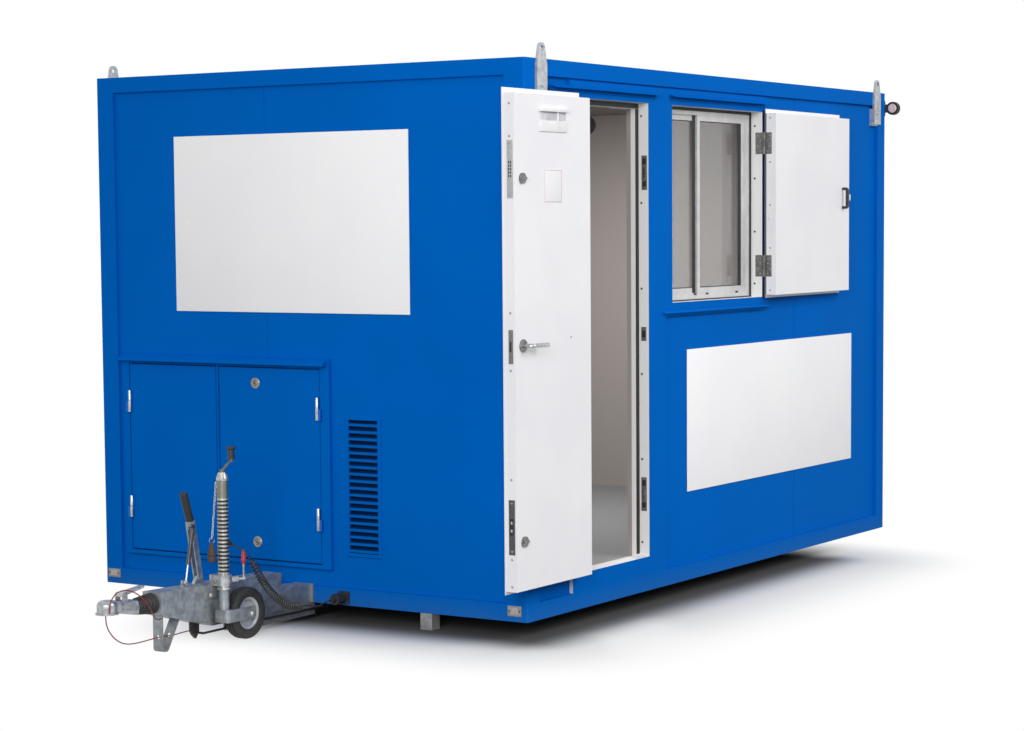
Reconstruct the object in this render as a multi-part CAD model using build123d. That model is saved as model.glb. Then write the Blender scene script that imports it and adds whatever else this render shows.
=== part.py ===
from build123d import *

import os
from math import atan2, cos, degrees, hypot, radians, sin, sqrt, tan

# A towable steel site cabin: one framed box with a floor, lowered on short feet, with an
# entrance door and a shuttered window on one long side, and a machine hatch with two leaves,
# a louvre and a drawbar on one short side. Millimetres. Built with X along the body from the
# drawbar end, Y across it from the door side and Z up from the ground, and moved at the end
# so that the origin is the bottom centre of the whole object.

# ---- Body shell -----------------------------------------------------------------------------
body_length = 3650.0
body_width = 2340.0
body_height = 2350.0
ground_gap = 75.0            # underside of the chassis rails above the ground
post_width = 100.0
post_corner_radius = 9.0
rail_depth = 80.0            # chassis and roof rails, measured into the body
chassis_rail_height = 75.0
roof_rail_height = 70.0
panel_recess = 18.0          # wall skins lie this far behind the faces of the posts
wall_thickness = 82.0
floor_thickness = 75.0
cross_member_width = 60.0
cross_member_count = 7
roof_thickness = 56.0
roof_rib_count = 8
roof_rib_width = 70.0
roof_rib_height = 7.0
seam_width = 5.0
seam_depth = 1.6
lip_height = 9.0             # shadow line under the roof rail, across the frames
lip_depth = 12.0
side_seam = 2570.0           # joint between the skin sheets of a long side, from the drawbar end
end_seam = 1370.0            # the same on an end, from the door side

rail_top = ground_gap + chassis_rail_height
floor_top = rail_top + floor_thickness
body_top = ground_gap + body_height
roof_rail_bottom = body_top - roof_rail_height
inner_face = panel_recess + wall_thickness
centre_y = body_width / 2

# ---- Entrance doorway and its leaf ------------------------------------------------------------
door_opening_start = 430.0
door_opening_width = 615.0
door_sill_level = 230.0
door_head_drop = 150.0          # heads of the doorway and the window below the top of the body
door_head_level = body_top - door_head_drop
surround_width = 60.0
reveal_depth = 56.0
stop_width = 25.0
leaf_gap = 5.0               # running gap round a closed leaf
skin_thickness = 4.0
skin_clearance = 5.0         # closed skin in front of the frame face
door_box_depth = 53.0
door_skin_sill_lap = 8.0     # skin below and above the opening
door_skin_head_lap = 17.0
door_open_angle = 180.0
door_pin_offset = 12.5       # hinge axis beside the opening
door_pin_standoff = 14.5     # hinge axis in front of the frame face

# ---- Hinges of the entrance door and the shutter -----------------------------------------------
hinge_height = 105.0
hinge_knuckle_radius = 7.0
hinge_knuckle_gap = 0.5
hinge_relief = 2.5           # room round the knuckle of the other half
strap_thickness = 4.0
strap_width = 36.0
butt_thickness = 2.4
butt_width = 38.0
door_hinge_margin = 202.5       # end hinges from the sill and the head of the doorway
middle_hinge_level = (door_sill_level + door_head_level) / 2
door_hinge_levels = (
    door_sill_level + door_hinge_margin,
    middle_hinge_level,
    door_head_level - door_hinge_margin,
)

# ---- Lever handle and bolt turns on the inner face of the entrance door --------------------------
lever_level = 1245.0
lever_inset = 58.0           # spindle from the free edge of the leaf
lever_length = 118.0
lever_radius = 9.0
lever_reach = 40.0
rose_radius = 27.0
rose_thickness = 8.0
turn_levels = (door_sill_level + 210.0, door_head_level - 350.0)
turn_radius = 22.0
turn_height = 9.0
turn_grip = 7.0
running_clearance = 0.3

# ---- Window and its shutter --------------------------------------------------------------------
window_opening_start = 1265.0
window_opening_width = 915.0
window_sill_level = 1375.0
window_head_level = body_top - door_head_drop
window_sill_height = 60.0
window_reveal_depth = 65.0
window_frame_depth = 35.0
window_frame_width = 32.0
sash_width = 26.0
sash_depth = 11.0
sash_gap = 3.0
meeting_stile_position = 382.0   # from the left side of the opening
glass_thickness = 4.0
shutter_box_depth = 56.0
shutter_skin_sill_lap = 5.0
shutter_skin_head_lap = 15.0
shutter_open_angle = 181.5
shutter_pin_standoff = 10.5
shutter_hinge_margin = 151.5     # hinges from the sill and the head of the window
shutter_hinge_levels = (window_sill_level + shutter_hinge_margin, window_head_level - shutter_hinge_margin)
pull_height = 110.0
pull_depth = 34.0
pull_bar = 14.0
pull_level = window_sill_level + 485.0
pull_inset = 85.0

# ---- Drip channels -----------------------------------------------------------------------------
drip_height = 28.0
drip_projection = 30.0
drip_thickness = 3.0
drip_level = door_head_level + 22.0
door_drip_left = 230.0
door_drip_right = 70.0
window_drip_overhang = 25.0
sill_drip_overhang = 95.0        # strip under the window past its opening
sill_drip_height = 11.0
sill_drip_projection = 14.0
sill_drip_drop = 38.0            # top of the strip below the sill

# ---- Machine hatch and louvre on the drawbar end -----------------------------------------------
hatch_width = 1190.0
hatch_far_gap = 130.0        # outside of the hatch frame, from the far side of the body
hatch_start = body_width - hatch_far_gap - hatch_width
hatch_bottom = 225.0
hatch_height = 930.0
hatch_near_post = 50.0
hatch_far_post = 35.0
hatch_sill_height = 18.0
hatch_head_height = 42.0
hatch_mullion_face = 10.0
hatch_mullion_width = 50.0
hatch_stop = 20.0
hatch_stop_depth = 36.0      # front of the stops behind the frame face
hatch_leaf_thickness = 30.0
hatch_gap = 5.0
hatch_mullion_offset = 630.0
hatch_mullion_y = hatch_start + hatch_mullion_offset
hatch_pin_radius = 7.0
hatch_pin_standoff = 9.0
hatch_pin_inset = 10.0       # hinge axis inside the opening
hatch_pin_plate = 4.0
hatch_pin_plate_width = 14.0
hatch_pin_height = 100.0
hatch_pin_levels = (445.0, 935.0)
canopy_height = 30.0
canopy_projection = 34.0
louvre_offset = 265.0
louvre_start = hatch_start - louvre_offset
louvre_width = 190.0
louvre_bottom = 290.0
louvre_height = 620.0
louvre_margin = 17.0
louvre_seat = 10.0           # flange of the louvre over the edge of its hole
louvre_flange = 6.0
louvre_depth = 36.0
louvre_count = 19
louvre_blade = 2.5
louvre_wall = 4.0

# ---- Lifting lugs, lamps, feet -----------------------------------------------------------------
lug_inset = 125.0            # lug centre from each end
lug_width = 80.0
lug_thickness = 12.0
lug_bottom = body_top - 170.0
lug_hole_radius = 12.0
lug_hole_level = body_top + 41.0
lug_tip_radius = 24.0
lug_shoulder_level = body_top - 25.0
lug_spacer_bottom = body_top - 177.0
lug_spacer_height = 90.0
lug_bolt_radius = 11.0
lug_bolt_height = 7.0
lug_bolt_level = body_top - 109.0
lamp_radius = 35.0
lamp_thickness = 28.0
lamp_offset = 37.0           # lens centre outside the side of the body
lamp_behind = 22.0           # lens centre behind the rear face
lamp_level = body_top - 80.0
lens_radius = 24.0
lens_height = 8.0
lamp_base_height = 86.0
lamp_base_width = 44.0
lamp_base_thickness = 12.0
foot_width = 60.0
foot_wall = 6.0
foot_offset = 42.0           # foot centre from each end of the body
foot_side_offset = 524.0     # foot centre from each side of the body

# ---- Drawbar -----------------------------------------------------------------------------------
beam_width = 100.0
beam_wall = 6.0
beam_front = -1020.0
beam_rear = -230.0
beam_front_top = 253.0
beam_front_bottom = 160.0
beam_rear_top = 236.0
beam_deep_bottom = 72.0
beam_deep_start = -700.0
arm_width = 80.0
arm_wall = 6.0
arm_bottom = 20.0
arm_end = 1500.0
arm_heel = -520.0
arm_saddle = 165.0
arm_knee_x = -100.0          # where the arm's top starts to fall to the front rail
flange_width = 104.0
flange_thickness = 10.0
flange_height = 83.0
drawbar_axis_level = 208.0
bellows_length = 105.0
bellows_rear_radius = 45.0
bellows_front_radius = 34.0
bellows_folds = 6
bellows_fold_depth = 6.0
shank_radius = 26.0
ball_x = -1290.0
ball_radius = 25.2
ball_socket_depth = 22.0
coupling_bottom = 200.0
coupling_dome_radius = 41.0
coupling_dome_height = 56.0
coupling_lip_radius = 47.0
coupling_lip_height = 6.0
neck_front = (70.0, 46.0)    # width and height of the neck behind the dome
neck_rear = (66.0, 62.0)     # and at the bellows
neck_corner = 16.0
latch_x = -1205.0
latch_level = 266.0
latch_length = 128.0
latch_width = 30.0
latch_thickness = 8.0
latch_pin_radius = 5.0
latch_ear_thickness = 6.0
latch_clearance = 0.6
neck_clearance = 12.0
skid_width = 50.0
skid_thickness = 6.0
skid_front = -985.0
skid_back = -872.0
skid_foot_length = 30.0
skid_bend = 14.0
skid_hole_radius = 9.0
skid_hole_level = 62.0

# ---- Handbrake lever with its strut ------------------------------------------------------------
brake_pivot_x = -685.0
brake_pivot_level = 266.0
brake_y = centre_y + 35.0
brake_length = 250.0
brake_lean = 10.6            # forward of upright at rest
brake_bar_width = 28.0
brake_bar_thickness = 6.0
brake_bar_gap = 18.0
brake_pin_radius = 6.0
brake_grip_length = 129.0
brake_grip_lean = 8.0        # further forward than the bars
brake_grip_radius = 17.0
strut_foot_x = -802.0
strut_foot_level = 262.0
strut_pin_reach = 235.3      # strut's upper pin along the lever from its pivot
strut_pin_forward = 23.1     # and in front of the lever's centre line
strut_pin_radius = 5.0
strut_pin_gap = 0.5
strut_y = centre_y + 4.0
strut_tube_radius = 8.5
strut_tube_length = 160.0
strut_tube_end = 14.0        # tube stops short of its eye
strut_bore_end = 24.0
strut_rod_radius = 4.0
strut_rod_gap = 0.4
strut_rod_length = 142.0
strut_eye_radius = 9.0
strut_eye_width = 10.0

# ---- Jockey wheel ------------------------------------------------------------------------------
mast_x = -680.0
mast_y = centre_y - 100.0
mast_radius = 24.0
mast_bore = 21.6
mast_bottom = 228.0
mast_top = 695.0
mast_bore_end = 6.0
mast_cap_radius = 26.0
mast_rib_start = 301.0
mast_rib_count = 19
mast_rib_pitch = 16.3
mast_groove_depth = 2.2
mast_collar_radius = 30.0
mast_collar_height = 10.0
clamp_bottom = 244.0
clamp_height = 46.0
clamp_radius = 34.0
clamp_screw_radius = 6.0
clamp_screw_reach = 95.0
clamp_boss_reach = 60.0
clamp_boss_radius = 14.0
clamp_screw_turn = -32.0
clamp_plate_bottom = 192.0
clamp_plate_thickness = 14.0
clamp_handle_height = 62.0
clamp_handle_radius = 4.5
clamp_handle_inset = 8.0
clamp_grip_length = 62.0
clamp_grip_radius = 9.5
leg_radius = 21.2
leg_bottom = 150.0
leg_top = 560.0
leg_bore_radius = 12.0
wheel_x = -546.0
wheel_radius = 110.0
wheel_width = 62.0
rim_radius = 68.0
rim_width = 44.0
hub_radius = 20.0
axle_radius = 7.5
axle_nut = 2.0
rim_step = 5.0
disc_thickness = 5.0
fork_thickness = 5.0
fork_gap = 5.0
fork_drop = 21.0
fork_nose = 25.0
fork_tail = 22.0
fork_bend = 20.0
fork_neck = 21.0
fork_plug = 17.0
fork_neck_height = 8.0
crank_throw = 60.0
crank_rise = 45.0
crank_bar = 12.0
cap_height = 24.0
knob_radius = 21.0
knob_stem_radius = 14.0
knob_height = 52.0

# ---- Brake linkage and cords -------------------------------------------------------------------
linkage_front = -785.0
linkage_width = 52.0
linkage_thickness = 12.0
linkage_bottom = 22.0
brake_rod_radius = 5.0
brake_rod_level = 48.0
brake_rod_end = 600.0
brake_rod_offset = 6.0       # rod centre outside the face of the arm
rod_guides = (-400.0, 100.0)
rod_guide_length = 24.0
coil_radius = 17.0
lead_radius = 4.0
gland_radius = 9.0
gland_length = 14.0
plug_radius = 24.0
plug_neck_length = 24.0
plug_neck_radius = 13.0
plug_socket_width = 56.0
plug_socket_thickness = 12.0
red_cable_radius = 2.5
bend_share = 0.45            # bend radius as a share of the shorter run beside it


# ---- Shapes used all over ----------------------------------------------------------------------
def block(x0, x1, y0, y1, z0, z1):
    """A rectangular block between two corners."""
    middle = Pos((x0 + x1) / 2, (y0 + y1) / 2, (z0 + z1) / 2)
    return middle * Box(abs(x1 - x0), abs(y1 - y0), abs(z1 - z0))


def rod(start, end, radius):
    """A round bar from one point to another."""
    start = Vector(*start)
    end = Vector(*end)
    face = Plane(origin=start, z_dir=end - start) * Circle(radius)
    return extrude(face, amount=(end - start).length)


def upright(x, y, z0, z1, radius):
    """A vertical round bar."""
    return Pos(x, y, (z0 + z1) / 2) * Cylinder(radius, z1 - z0)


def across(x, z, y0, y1, radius):
    """A round bar along Y."""
    return Pos(x, (y0 + y1) / 2, z) * Rot(90, 0, 0) * Cylinder(radius, y1 - y0)


def along(y, z, x0, x1, radius):
    """A round bar along X."""
    return Pos((x0 + x1) / 2, y, z) * Rot(0, 90, 0) * Cylinder(radius, x1 - x0)


def side_profile(points, y0, y1):
    """A plate with an outline in X and Z, between two values of Y."""
    face = make_face(Plane.XZ * Polyline(*points, close=True))
    return Pos(0, y1, 0) * extrude(face, amount=y1 - y0, dir=(0, -1, 0))


def turned(points):
    """A solid of revolution about Z from an outline of radius and height."""
    return revolve(make_face(Plane.XZ * Polyline(*points, close=True)), Axis.Z)


def group(pieces):
    """Several solids that share one node."""
    return Compound([solid for piece in pieces for solid in piece.solids()])


def mirror_across(shape):
    """The same shape on the other long side."""
    return shape.mirror(Plane(origin=(0, centre_y, 0), z_dir=(0, 1, 0)))


def mirror_along(shape):
    """The same shape at the other end."""
    return shape.mirror(Plane(origin=(body_length / 2, 0, 0), z_dir=(1, 0, 0)))


def four_corners(shape):
    """A shape at one corner of the body, repeated at the other three."""
    pair = [shape, mirror_along(shape)]
    return group(pair + [mirror_across(piece) for piece in pair])


def swing_reach(limit, depth):
    """How far a leaf reaches from its hinge when its back corner keeps inside a radius."""
    return sqrt(limit ** 2 - depth ** 2)


# ---- Body shell --------------------------------------------------------------------------------
def corner_posts():
    post = block(0, post_width, 0, post_width, ground_gap, body_top)
    outer_edge = post.edges().filter_by(Axis.Z).sort_by_distance((0, 0, body_top / 2))[0]
    return four_corners(fillet(outer_edge, post_corner_radius))


def rail_set(z0, z1):
    """Two side rails and two end rails between the corner posts."""
    side = block(post_width, body_length - post_width, 0, rail_depth, z0, z1)
    end = block(0, rail_depth, post_width, body_width - post_width, z0, z1)
    return group([side, mirror_across(side), end, mirror_along(end)])


def frame_rails():
    """Chassis rails at the bottom and roof rails at the top."""
    return group([rail_set(ground_gap, rail_top), rail_set(roof_rail_bottom, body_top)])


def cross_members():
    """Joists across the chassis, level with its rails."""
    clear = body_length - 2 * rail_depth
    half = cross_member_width / 2
    bars = []
    for index in range(cross_member_count):
        x = rail_depth + clear * (index + 1) / (cross_member_count + 1)
        bars.append(block(x - half, x + half, rail_depth, body_width - rail_depth, ground_gap, rail_top))
    return group(bars)


def floor():
    edge = inner_face
    return block(edge, body_length - edge, edge, body_width - edge, rail_top, floor_top)


def roof_panel():
    """Sandwich roof between the roof rails, with pressed ribs across it."""
    x0 = rail_depth
    x1 = body_length - rail_depth
    bottom = roof_rail_bottom
    top = bottom + roof_thickness
    panel = block(x0, x1, x0, body_width - x0, bottom, top)
    panel -= four_corners(block(0, post_width, 0, post_width, bottom, top))
    pitch = (x1 - x0) / roof_rib_count
    half = roof_rib_width / 2
    for index in range(roof_rib_count):
        x = x0 + pitch * (index + 0.5)
        rib = block(x - half, x + half, post_width, body_width - post_width, top, top + roof_rib_height)
        panel += chamfer(rib.edges().filter_by(Axis.Y).group_by(Axis.Z)[-1], roof_rib_height * 0.9)
    return panel


def side_wall(x0, x1, z0, z1):
    """A piece of wall on the door side, with the joint between its skin sheets."""
    wall = block(x0, x1, panel_recess, inner_face, z0, z1)
    if x0 < side_seam < x1:
        half = seam_width / 2
        wall -= block(side_seam - half, side_seam + half, panel_recess, panel_recess + seam_depth, z0, z1)
    return wall


def end_wall(y0, y1, z0, z1, seamed=False):
    """A piece of wall on the drawbar end, with or without the joint between its skin sheets."""
    wall = block(panel_recess, inner_face, y0, y1, z0, z1)
    if seamed:
        half = seam_width / 2
        wall -= block(panel_recess, panel_recess + seam_depth, end_seam - half, end_seam + half, z0, z1)
    return wall


door_opening_end = door_opening_start + door_opening_width
window_opening_end = window_opening_start + window_opening_width


def lip_cut(x0, x1):
    """Shadow line under the roof rail where a frame or a panel comes up flush with it."""
    return block(x0, x1, 0, lip_depth, roof_rail_bottom - lip_height, roof_rail_bottom)


def door_side_wall():
    """Wall beside the doorway and the window, with a flush panel between the two frames."""
    x0 = door_opening_end + surround_width
    x1 = window_opening_start - surround_width
    between = block(x0, x1, 0, inner_face, rail_top, roof_rail_bottom) - lip_cut(x0, x1)
    beside_door = side_wall(inner_face, door_opening_start - surround_width, rail_top, roof_rail_bottom)
    beside_window = side_wall(window_opening_end + surround_width, body_length - inner_face, rail_top,
                              roof_rail_bottom)
    return group([beside_door, between, beside_window])


def far_side_wall():
    wall = side_wall(inner_face, body_length - inner_face, rail_top, roof_rail_bottom)
    return mirror_across(wall)


def rear_wall():
    wall = end_wall(inner_face, body_width - inner_face, rail_top, roof_rail_bottom, seamed=True)
    return mirror_along(wall)


hatch_end = hatch_start + hatch_width
hatch_top = hatch_bottom + hatch_height
louvre_end = louvre_start + louvre_width
louvre_top = louvre_bottom + louvre_height
louvre_hole = (louvre_start + louvre_seat, louvre_end - louvre_seat)


def front_wall_top():
    """Wall over the hatch and the louvre."""
    return end_wall(inner_face, body_width - inner_face, hatch_top, roof_rail_bottom, seamed=True)


def front_wall_piers():
    """Wall beside the louvre and beside the hatch."""
    spans = [
        (inner_face, louvre_hole[0]),
        (louvre_hole[1], hatch_start),
        (hatch_end, body_width - inner_face),
    ]
    return group([end_wall(y0, y1, rail_top, hatch_top) for y0, y1 in spans])


def wall_bands():
    """Wall under the window, under the hatch, and under and over the louvre."""
    x0 = window_opening_start - surround_width
    x1 = window_opening_end + surround_width
    return group([
        side_wall(x0, x1, rail_top, window_sill_level - window_sill_height),
        end_wall(hatch_start, hatch_end, rail_top, hatch_bottom),
        end_wall(louvre_hole[0], louvre_hole[1], rail_top, louvre_bottom + louvre_seat),
        end_wall(louvre_hole[0], louvre_hole[1], louvre_top - louvre_seat, hatch_top),
    ])


# ---- Frames of the doorway and the window --------------------------------------------------------
def door_jamb(edge, side):
    """Frame post beside the doorway, with a stop behind the leaf: side points away from the opening."""
    outer = edge + side * surround_width
    inner = edge - side * stop_width
    post = block(edge, outer, 0, inner_face, rail_top, roof_rail_bottom)
    return post + block(edge, inner, reveal_depth, inner_face, door_sill_level, door_head_level)


def frame_jambs():
    """Posts beside the doorway and the window, pocketed for the butt hinges."""
    window_bottom = window_sill_level - window_sill_height
    left = window_opening_start
    right = window_opening_end
    window_left = block(left - surround_width, left, 0, inner_face, window_bottom, roof_rail_bottom)
    window_right = block(right, right + surround_width, 0, inner_face, window_bottom, roof_rail_bottom)
    for level in shutter_hinge_levels:
        window_right -= butt_plate(level)
    door_jambs = [door_jamb(door_opening_start, -1), door_jamb(door_opening_end, 1)]
    jambs = door_jambs + [window_left, window_right]
    return group([jamb - lip_cut(0, body_length) for jamb in jambs])


def frame_heads_and_sills():
    """Heads, threshold and sill between the posts, the door head with a stop behind the leaf."""
    x0 = door_opening_start
    x1 = door_opening_end
    door_head = block(x0, x1, 0, inner_face, door_head_level, roof_rail_bottom)
    door_head += block(x0 + stop_width, x1 - stop_width, reveal_depth, inner_face,
                       door_head_level - stop_width, door_head_level)
    threshold = block(x0, x1, 0, inner_face, rail_top, door_sill_level)
    x0 = window_opening_start
    x1 = window_opening_end
    window_head = block(x0, x1, 0, inner_face, window_head_level, roof_rail_bottom)
    sill = block(x0, x1, 0, inner_face, window_sill_level - window_sill_height, window_sill_level)
    line = lip_cut(0, body_length)
    return group([door_head - line, threshold, window_head - line, sill])


# ---- Hinges of the door and the shutter ----------------------------------------------------------
door_axis = (door_opening_start - door_pin_offset, -door_pin_standoff)
shutter_axis = (window_opening_end - leaf_gap / 2, -shutter_pin_standoff)


def knuckle_spans(level):
    """Heights of the lower, middle and upper knuckle of a hinge."""
    step = hinge_height / 3
    bottoms = [level - hinge_height / 2 + step * index for index in range(3)]
    gap = hinge_knuckle_gap / 2
    return [(bottom + gap, bottom + step - gap) for bottom in bottoms]


def knuckles(spans):
    """Knuckles about an upright axis at the origin."""
    return [upright(0, 0, z0, z1, hinge_knuckle_radius) for z0, z1 in spans]


def strap_half(level, side, spans, face):
    """Strap of a door hinge that lies on a face: side -1 on the frame and side 1 on the leaf."""
    z0 = level - hinge_height / 2
    clear = hinge_knuckle_radius + hinge_relief
    start = side * clear
    end = side * (clear + strap_width)
    strap = block(start, end, face - strap_thickness, face, z0, z0 + hinge_height)
    for low, high in spans:
        strap += block(0, start, face - strap_thickness, face, low, high)
        if side < 0:
            strap += block(0, -hinge_knuckle_radius, 0, face, low, high)
    return strap + knuckles(spans)


def butt_plate(level):
    """Plate let into the window's reveal for the fixed half of a shutter hinge."""
    z0 = level - hinge_height / 2
    x0 = window_opening_end
    return block(x0, x0 + butt_thickness, 0, butt_width, z0, z0 + hinge_height)


def butt_half(level):
    """Fixed half of a shutter hinge: its plate, its knuckles and the web to them."""
    low, middle, high = knuckle_spans(level)
    half = butt_plate(level)
    for z0, z1 in (low, high):
        x0 = window_opening_end
        half += block(x0, x0 + butt_thickness, -shutter_pin_standoff, 0, z0, z1)
        half += Pos(*shutter_axis, 0) * upright(0, 0, z0, z1, hinge_knuckle_radius)
    return half


# ---- Entrance door and shutter ---------------------------------------------------------------------
# Each leaf is made closed about its hinge axis, reaching along +X, with its outer skin towards -Y.
door_start = door_pin_offset + leaf_gap
door_limit = door_opening_end - leaf_gap - door_axis[0]
door_skin_back = door_pin_standoff - skin_clearance
door_inner = door_skin_back + door_box_depth
door_box_end = swing_reach(door_limit, door_inner)
shutter_start = leaf_gap / 2
shutter_limit = shutter_axis[0] - window_opening_start - leaf_gap
shutter_skin_back = shutter_pin_standoff - skin_clearance
shutter_inner = shutter_skin_back + shutter_box_depth
shutter_box_end = swing_reach(shutter_limit, shutter_inner)


def leaf_body(start, box_end, limit, skin_back, inner, box_levels, skin_levels):
    """Box of a leaf behind a lipped outer skin."""
    box = block(start, box_end, skin_back, inner, *box_levels)
    skin = block(start, swing_reach(limit, skin_back), skin_back - skin_thickness, skin_back, *skin_levels)
    return box + skin


def place_door(shape):
    """From the hinge axis of the closed entrance door to its open place."""
    return Pos(*door_axis, 0) * Rot(0, 0, -door_open_angle) * shape


def place_shutter(shape):
    """From the hinge axis of the closed shutter, mirrored, to its open place."""
    hung = shape.mirror(Plane(origin=(0, 0, 0), z_dir=(1, 0, 0)))
    return Pos(*shutter_axis, 0) * Rot(0, 0, shutter_open_angle) * hung


def entrance_door():
    box_levels = (door_sill_level + leaf_gap + 1, door_head_level - leaf_gap - 1)
    skin_levels = (door_sill_level - door_skin_sill_lap, door_head_level + door_skin_head_lap)
    leaf = leaf_body(door_start, door_box_end, door_limit, door_skin_back, door_inner, box_levels,
                     skin_levels)
    face = door_skin_back - skin_thickness
    for level in door_hinge_levels:
        leaf += strap_half(level, 1, knuckle_spans(level)[1:2], face)
    return place_door(leaf)


def window_shutter():
    box_levels = (window_sill_level + leaf_gap * 2, window_head_level - leaf_gap - 1)
    skin_levels = (window_sill_level - shutter_skin_sill_lap, window_head_level + shutter_skin_head_lap)
    leaf = leaf_body(shutter_start, shutter_box_end, shutter_limit, shutter_skin_back, shutter_inner,
                     box_levels, skin_levels)
    clear = hinge_knuckle_radius + hinge_relief
    for level in shutter_hinge_levels:
        low, middle, high = knuckle_spans(level)
        for z0, z1 in (low, high):
            leaf -= upright(0, 0, z0 - hinge_relief, z1 + hinge_relief, clear)
        leaf += block(shutter_start, shutter_start + butt_thickness, 0, clear, *middle)
        leaf += knuckles([middle])
    return place_shutter(leaf)


def fixed_hinges():
    """Hinge halves on the frames of the doorway, the window and the machine hatch."""
    door = []
    for level in door_hinge_levels:
        low, middle, high = knuckle_spans(level)
        door.append(Pos(*door_axis, 0) * strap_half(level, -1, [low, high], door_pin_standoff))
    window = [butt_half(level) for level in shutter_hinge_levels]
    return group(door + window + hatch_pins())


spindle_x = door_box_end - lever_inset


def door_furniture():
    """Rose of the handle and the two bolt turns on the inner face of the door."""
    rose = across(spindle_x, lever_level, door_inner, door_inner + rose_thickness, rose_radius)
    pieces = [chamfer(rose.edges().group_by(Axis.Y)[-1], rose_thickness * 0.4)]
    for level in turn_levels:
        disc = across(spindle_x, level, door_inner, door_inner + turn_height, turn_radius)
        grip_face = door_inner + turn_height
        reach = turn_radius * 0.8
        disc += block(spindle_x - reach, spindle_x + reach, grip_face, grip_face + turn_grip, level - 5,
                      level + 5)
        pieces.append(disc)
    return place_door(group(pieces))


def door_lever():
    """Handle that turns on the back plate and points at the hinges."""
    y0 = door_inner + rose_thickness + running_clearance
    bar_y = y0 + lever_reach
    path = FilletPolyline((spindle_x, y0, lever_level), (spindle_x, bar_y, lever_level),
                          (spindle_x - lever_length, bar_y, lever_level), radius=lever_radius * 1.6)
    section = Plane(origin=path @ 0, z_dir=path % 0) * Circle(lever_radius)
    return place_door(sweep(section, path=path))


def shutter_pull():
    """Bow handle near the free edge of the shutter, on its inner face."""
    x = shutter_box_end - pull_inset
    z0 = pull_level - pull_height / 2
    z1 = pull_level + pull_height / 2
    half = pull_bar / 2
    bow = block(x - half, x + half, shutter_inner, shutter_inner + pull_depth, z0, z1)
    bow = fillet(bow.edges().filter_by(Axis.X).group_by(Axis.Y)[-1], pull_depth * 0.5)
    bow -= block(x - half, x + half, shutter_inner, shutter_inner + pull_depth - pull_bar, z0 + pull_bar,
                 z1 - pull_bar)
    return place_shutter(bow)


# ---- Window ------------------------------------------------------------------------------------
def frame_ring(x0, x1, y0, y1, z0, z1, width):
    """A rectangular frame of bars."""
    ring = block(x0, x1, y0, y1, z0, z1)
    return ring - block(x0 + width, x1 - width, y0, y1, z0 + width, z1 - width)


def window_frame():
    """Outer frame of the sliding window, set at the back of the reveal."""
    y0 = window_reveal_depth
    return frame_ring(window_opening_start, window_opening_end, y0, y0 + window_frame_depth,
                      window_sill_level, window_head_level, window_frame_width)


meeting_x = window_opening_start + meeting_stile_position
sash_bottom = window_sill_level + window_frame_width
sash_top = window_head_level - window_frame_width
sash_front = window_reveal_depth + sash_gap
sash_back = sash_front + sash_depth + sash_gap
# Left sash in the inner track and right sash in the outer one, passing at the meeting stile.
sash_places = (
    (window_opening_start + window_frame_width, meeting_x + sash_width / 2, sash_back),
    (meeting_x - sash_width / 2, window_opening_end - window_frame_width, sash_front),
)


def window_sashes():
    sashes = []
    for x0, x1, y0 in sash_places:
        sashes.append(frame_ring(x0, x1, y0, y0 + sash_depth, sash_bottom, sash_top, sash_width))
    return group(sashes)


def window_glass():
    panes = []
    for x0, x1, y0 in sash_places:
        y = y0 + (sash_depth - glass_thickness) / 2
        panes.append(block(x0 + sash_width, x1 - sash_width, y, y + glass_thickness,
                           sash_bottom + sash_width, sash_top - sash_width))
    return group(panes)


def drip_channel(x0, x1):
    """Folded strip over an opening that throws the rain off."""
    top = drip_level + drip_height
    lip = drip_level + drip_height * 0.45
    points = [
        (0, top),
        (0, drip_level),
        (-drip_thickness, drip_level),
        (-drip_thickness, top - 2 * drip_thickness),
        (-drip_projection, lip),
        (-drip_projection, lip + drip_thickness),
    ]
    face = make_face(Plane.YZ * Polyline(*points, close=True))
    return Pos(x0, 0, 0) * extrude(face, amount=x1 - x0, dir=(1, 0, 0))


def drip_channels():
    door_start_x = door_opening_start - door_drip_left
    door_end_x = door_opening_end + door_drip_right
    window_start_x = window_opening_start - window_drip_overhang
    window_end_x = window_opening_end + window_drip_overhang
    top = window_sill_level - sill_drip_drop
    strip = block(window_opening_start - sill_drip_overhang, window_opening_end + surround_width,
                  -sill_drip_projection, 0, top - sill_drip_height, top)
    strip = chamfer(strip.edges().filter_by(Axis.X).group_by(Axis.Y)[0].sort_by(Axis.Z)[-1], 6)
    return group([drip_channel(door_start_x, door_end_x), drip_channel(window_start_x, window_end_x), strip])


# ---- Machine hatch -----------------------------------------------------------------------------
hatch_inner_start = hatch_start + hatch_near_post
hatch_inner_end = hatch_end - hatch_far_post
hatch_inner_bottom = hatch_bottom + hatch_sill_height
hatch_inner_top = hatch_top - hatch_head_height
mullion_start = hatch_mullion_y - hatch_mullion_face / 2
mullion_end = hatch_mullion_y + hatch_mullion_face / 2


def hatch_posts():
    """Side posts and mullion of the hatch, each with a stop behind the leaves."""
    z0 = hatch_bottom
    z1 = hatch_top
    inner = (hatch_inner_bottom, hatch_inner_top)
    near = block(0, inner_face, hatch_start, hatch_inner_start, z0, z1)
    near += block(hatch_stop_depth, inner_face, hatch_inner_start, hatch_inner_start + hatch_stop, *inner)
    far = block(0, inner_face, hatch_inner_end, hatch_end, z0, z1)
    far += block(hatch_stop_depth, inner_face, hatch_inner_end - hatch_stop, hatch_inner_end, *inner)
    half = hatch_mullion_width / 2
    bar = block(0, hatch_stop_depth, mullion_start, mullion_end, *inner)
    bar += block(hatch_stop_depth, inner_face, hatch_mullion_y - half, hatch_mullion_y + half, *inner)
    return group([near, far, bar])


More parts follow.
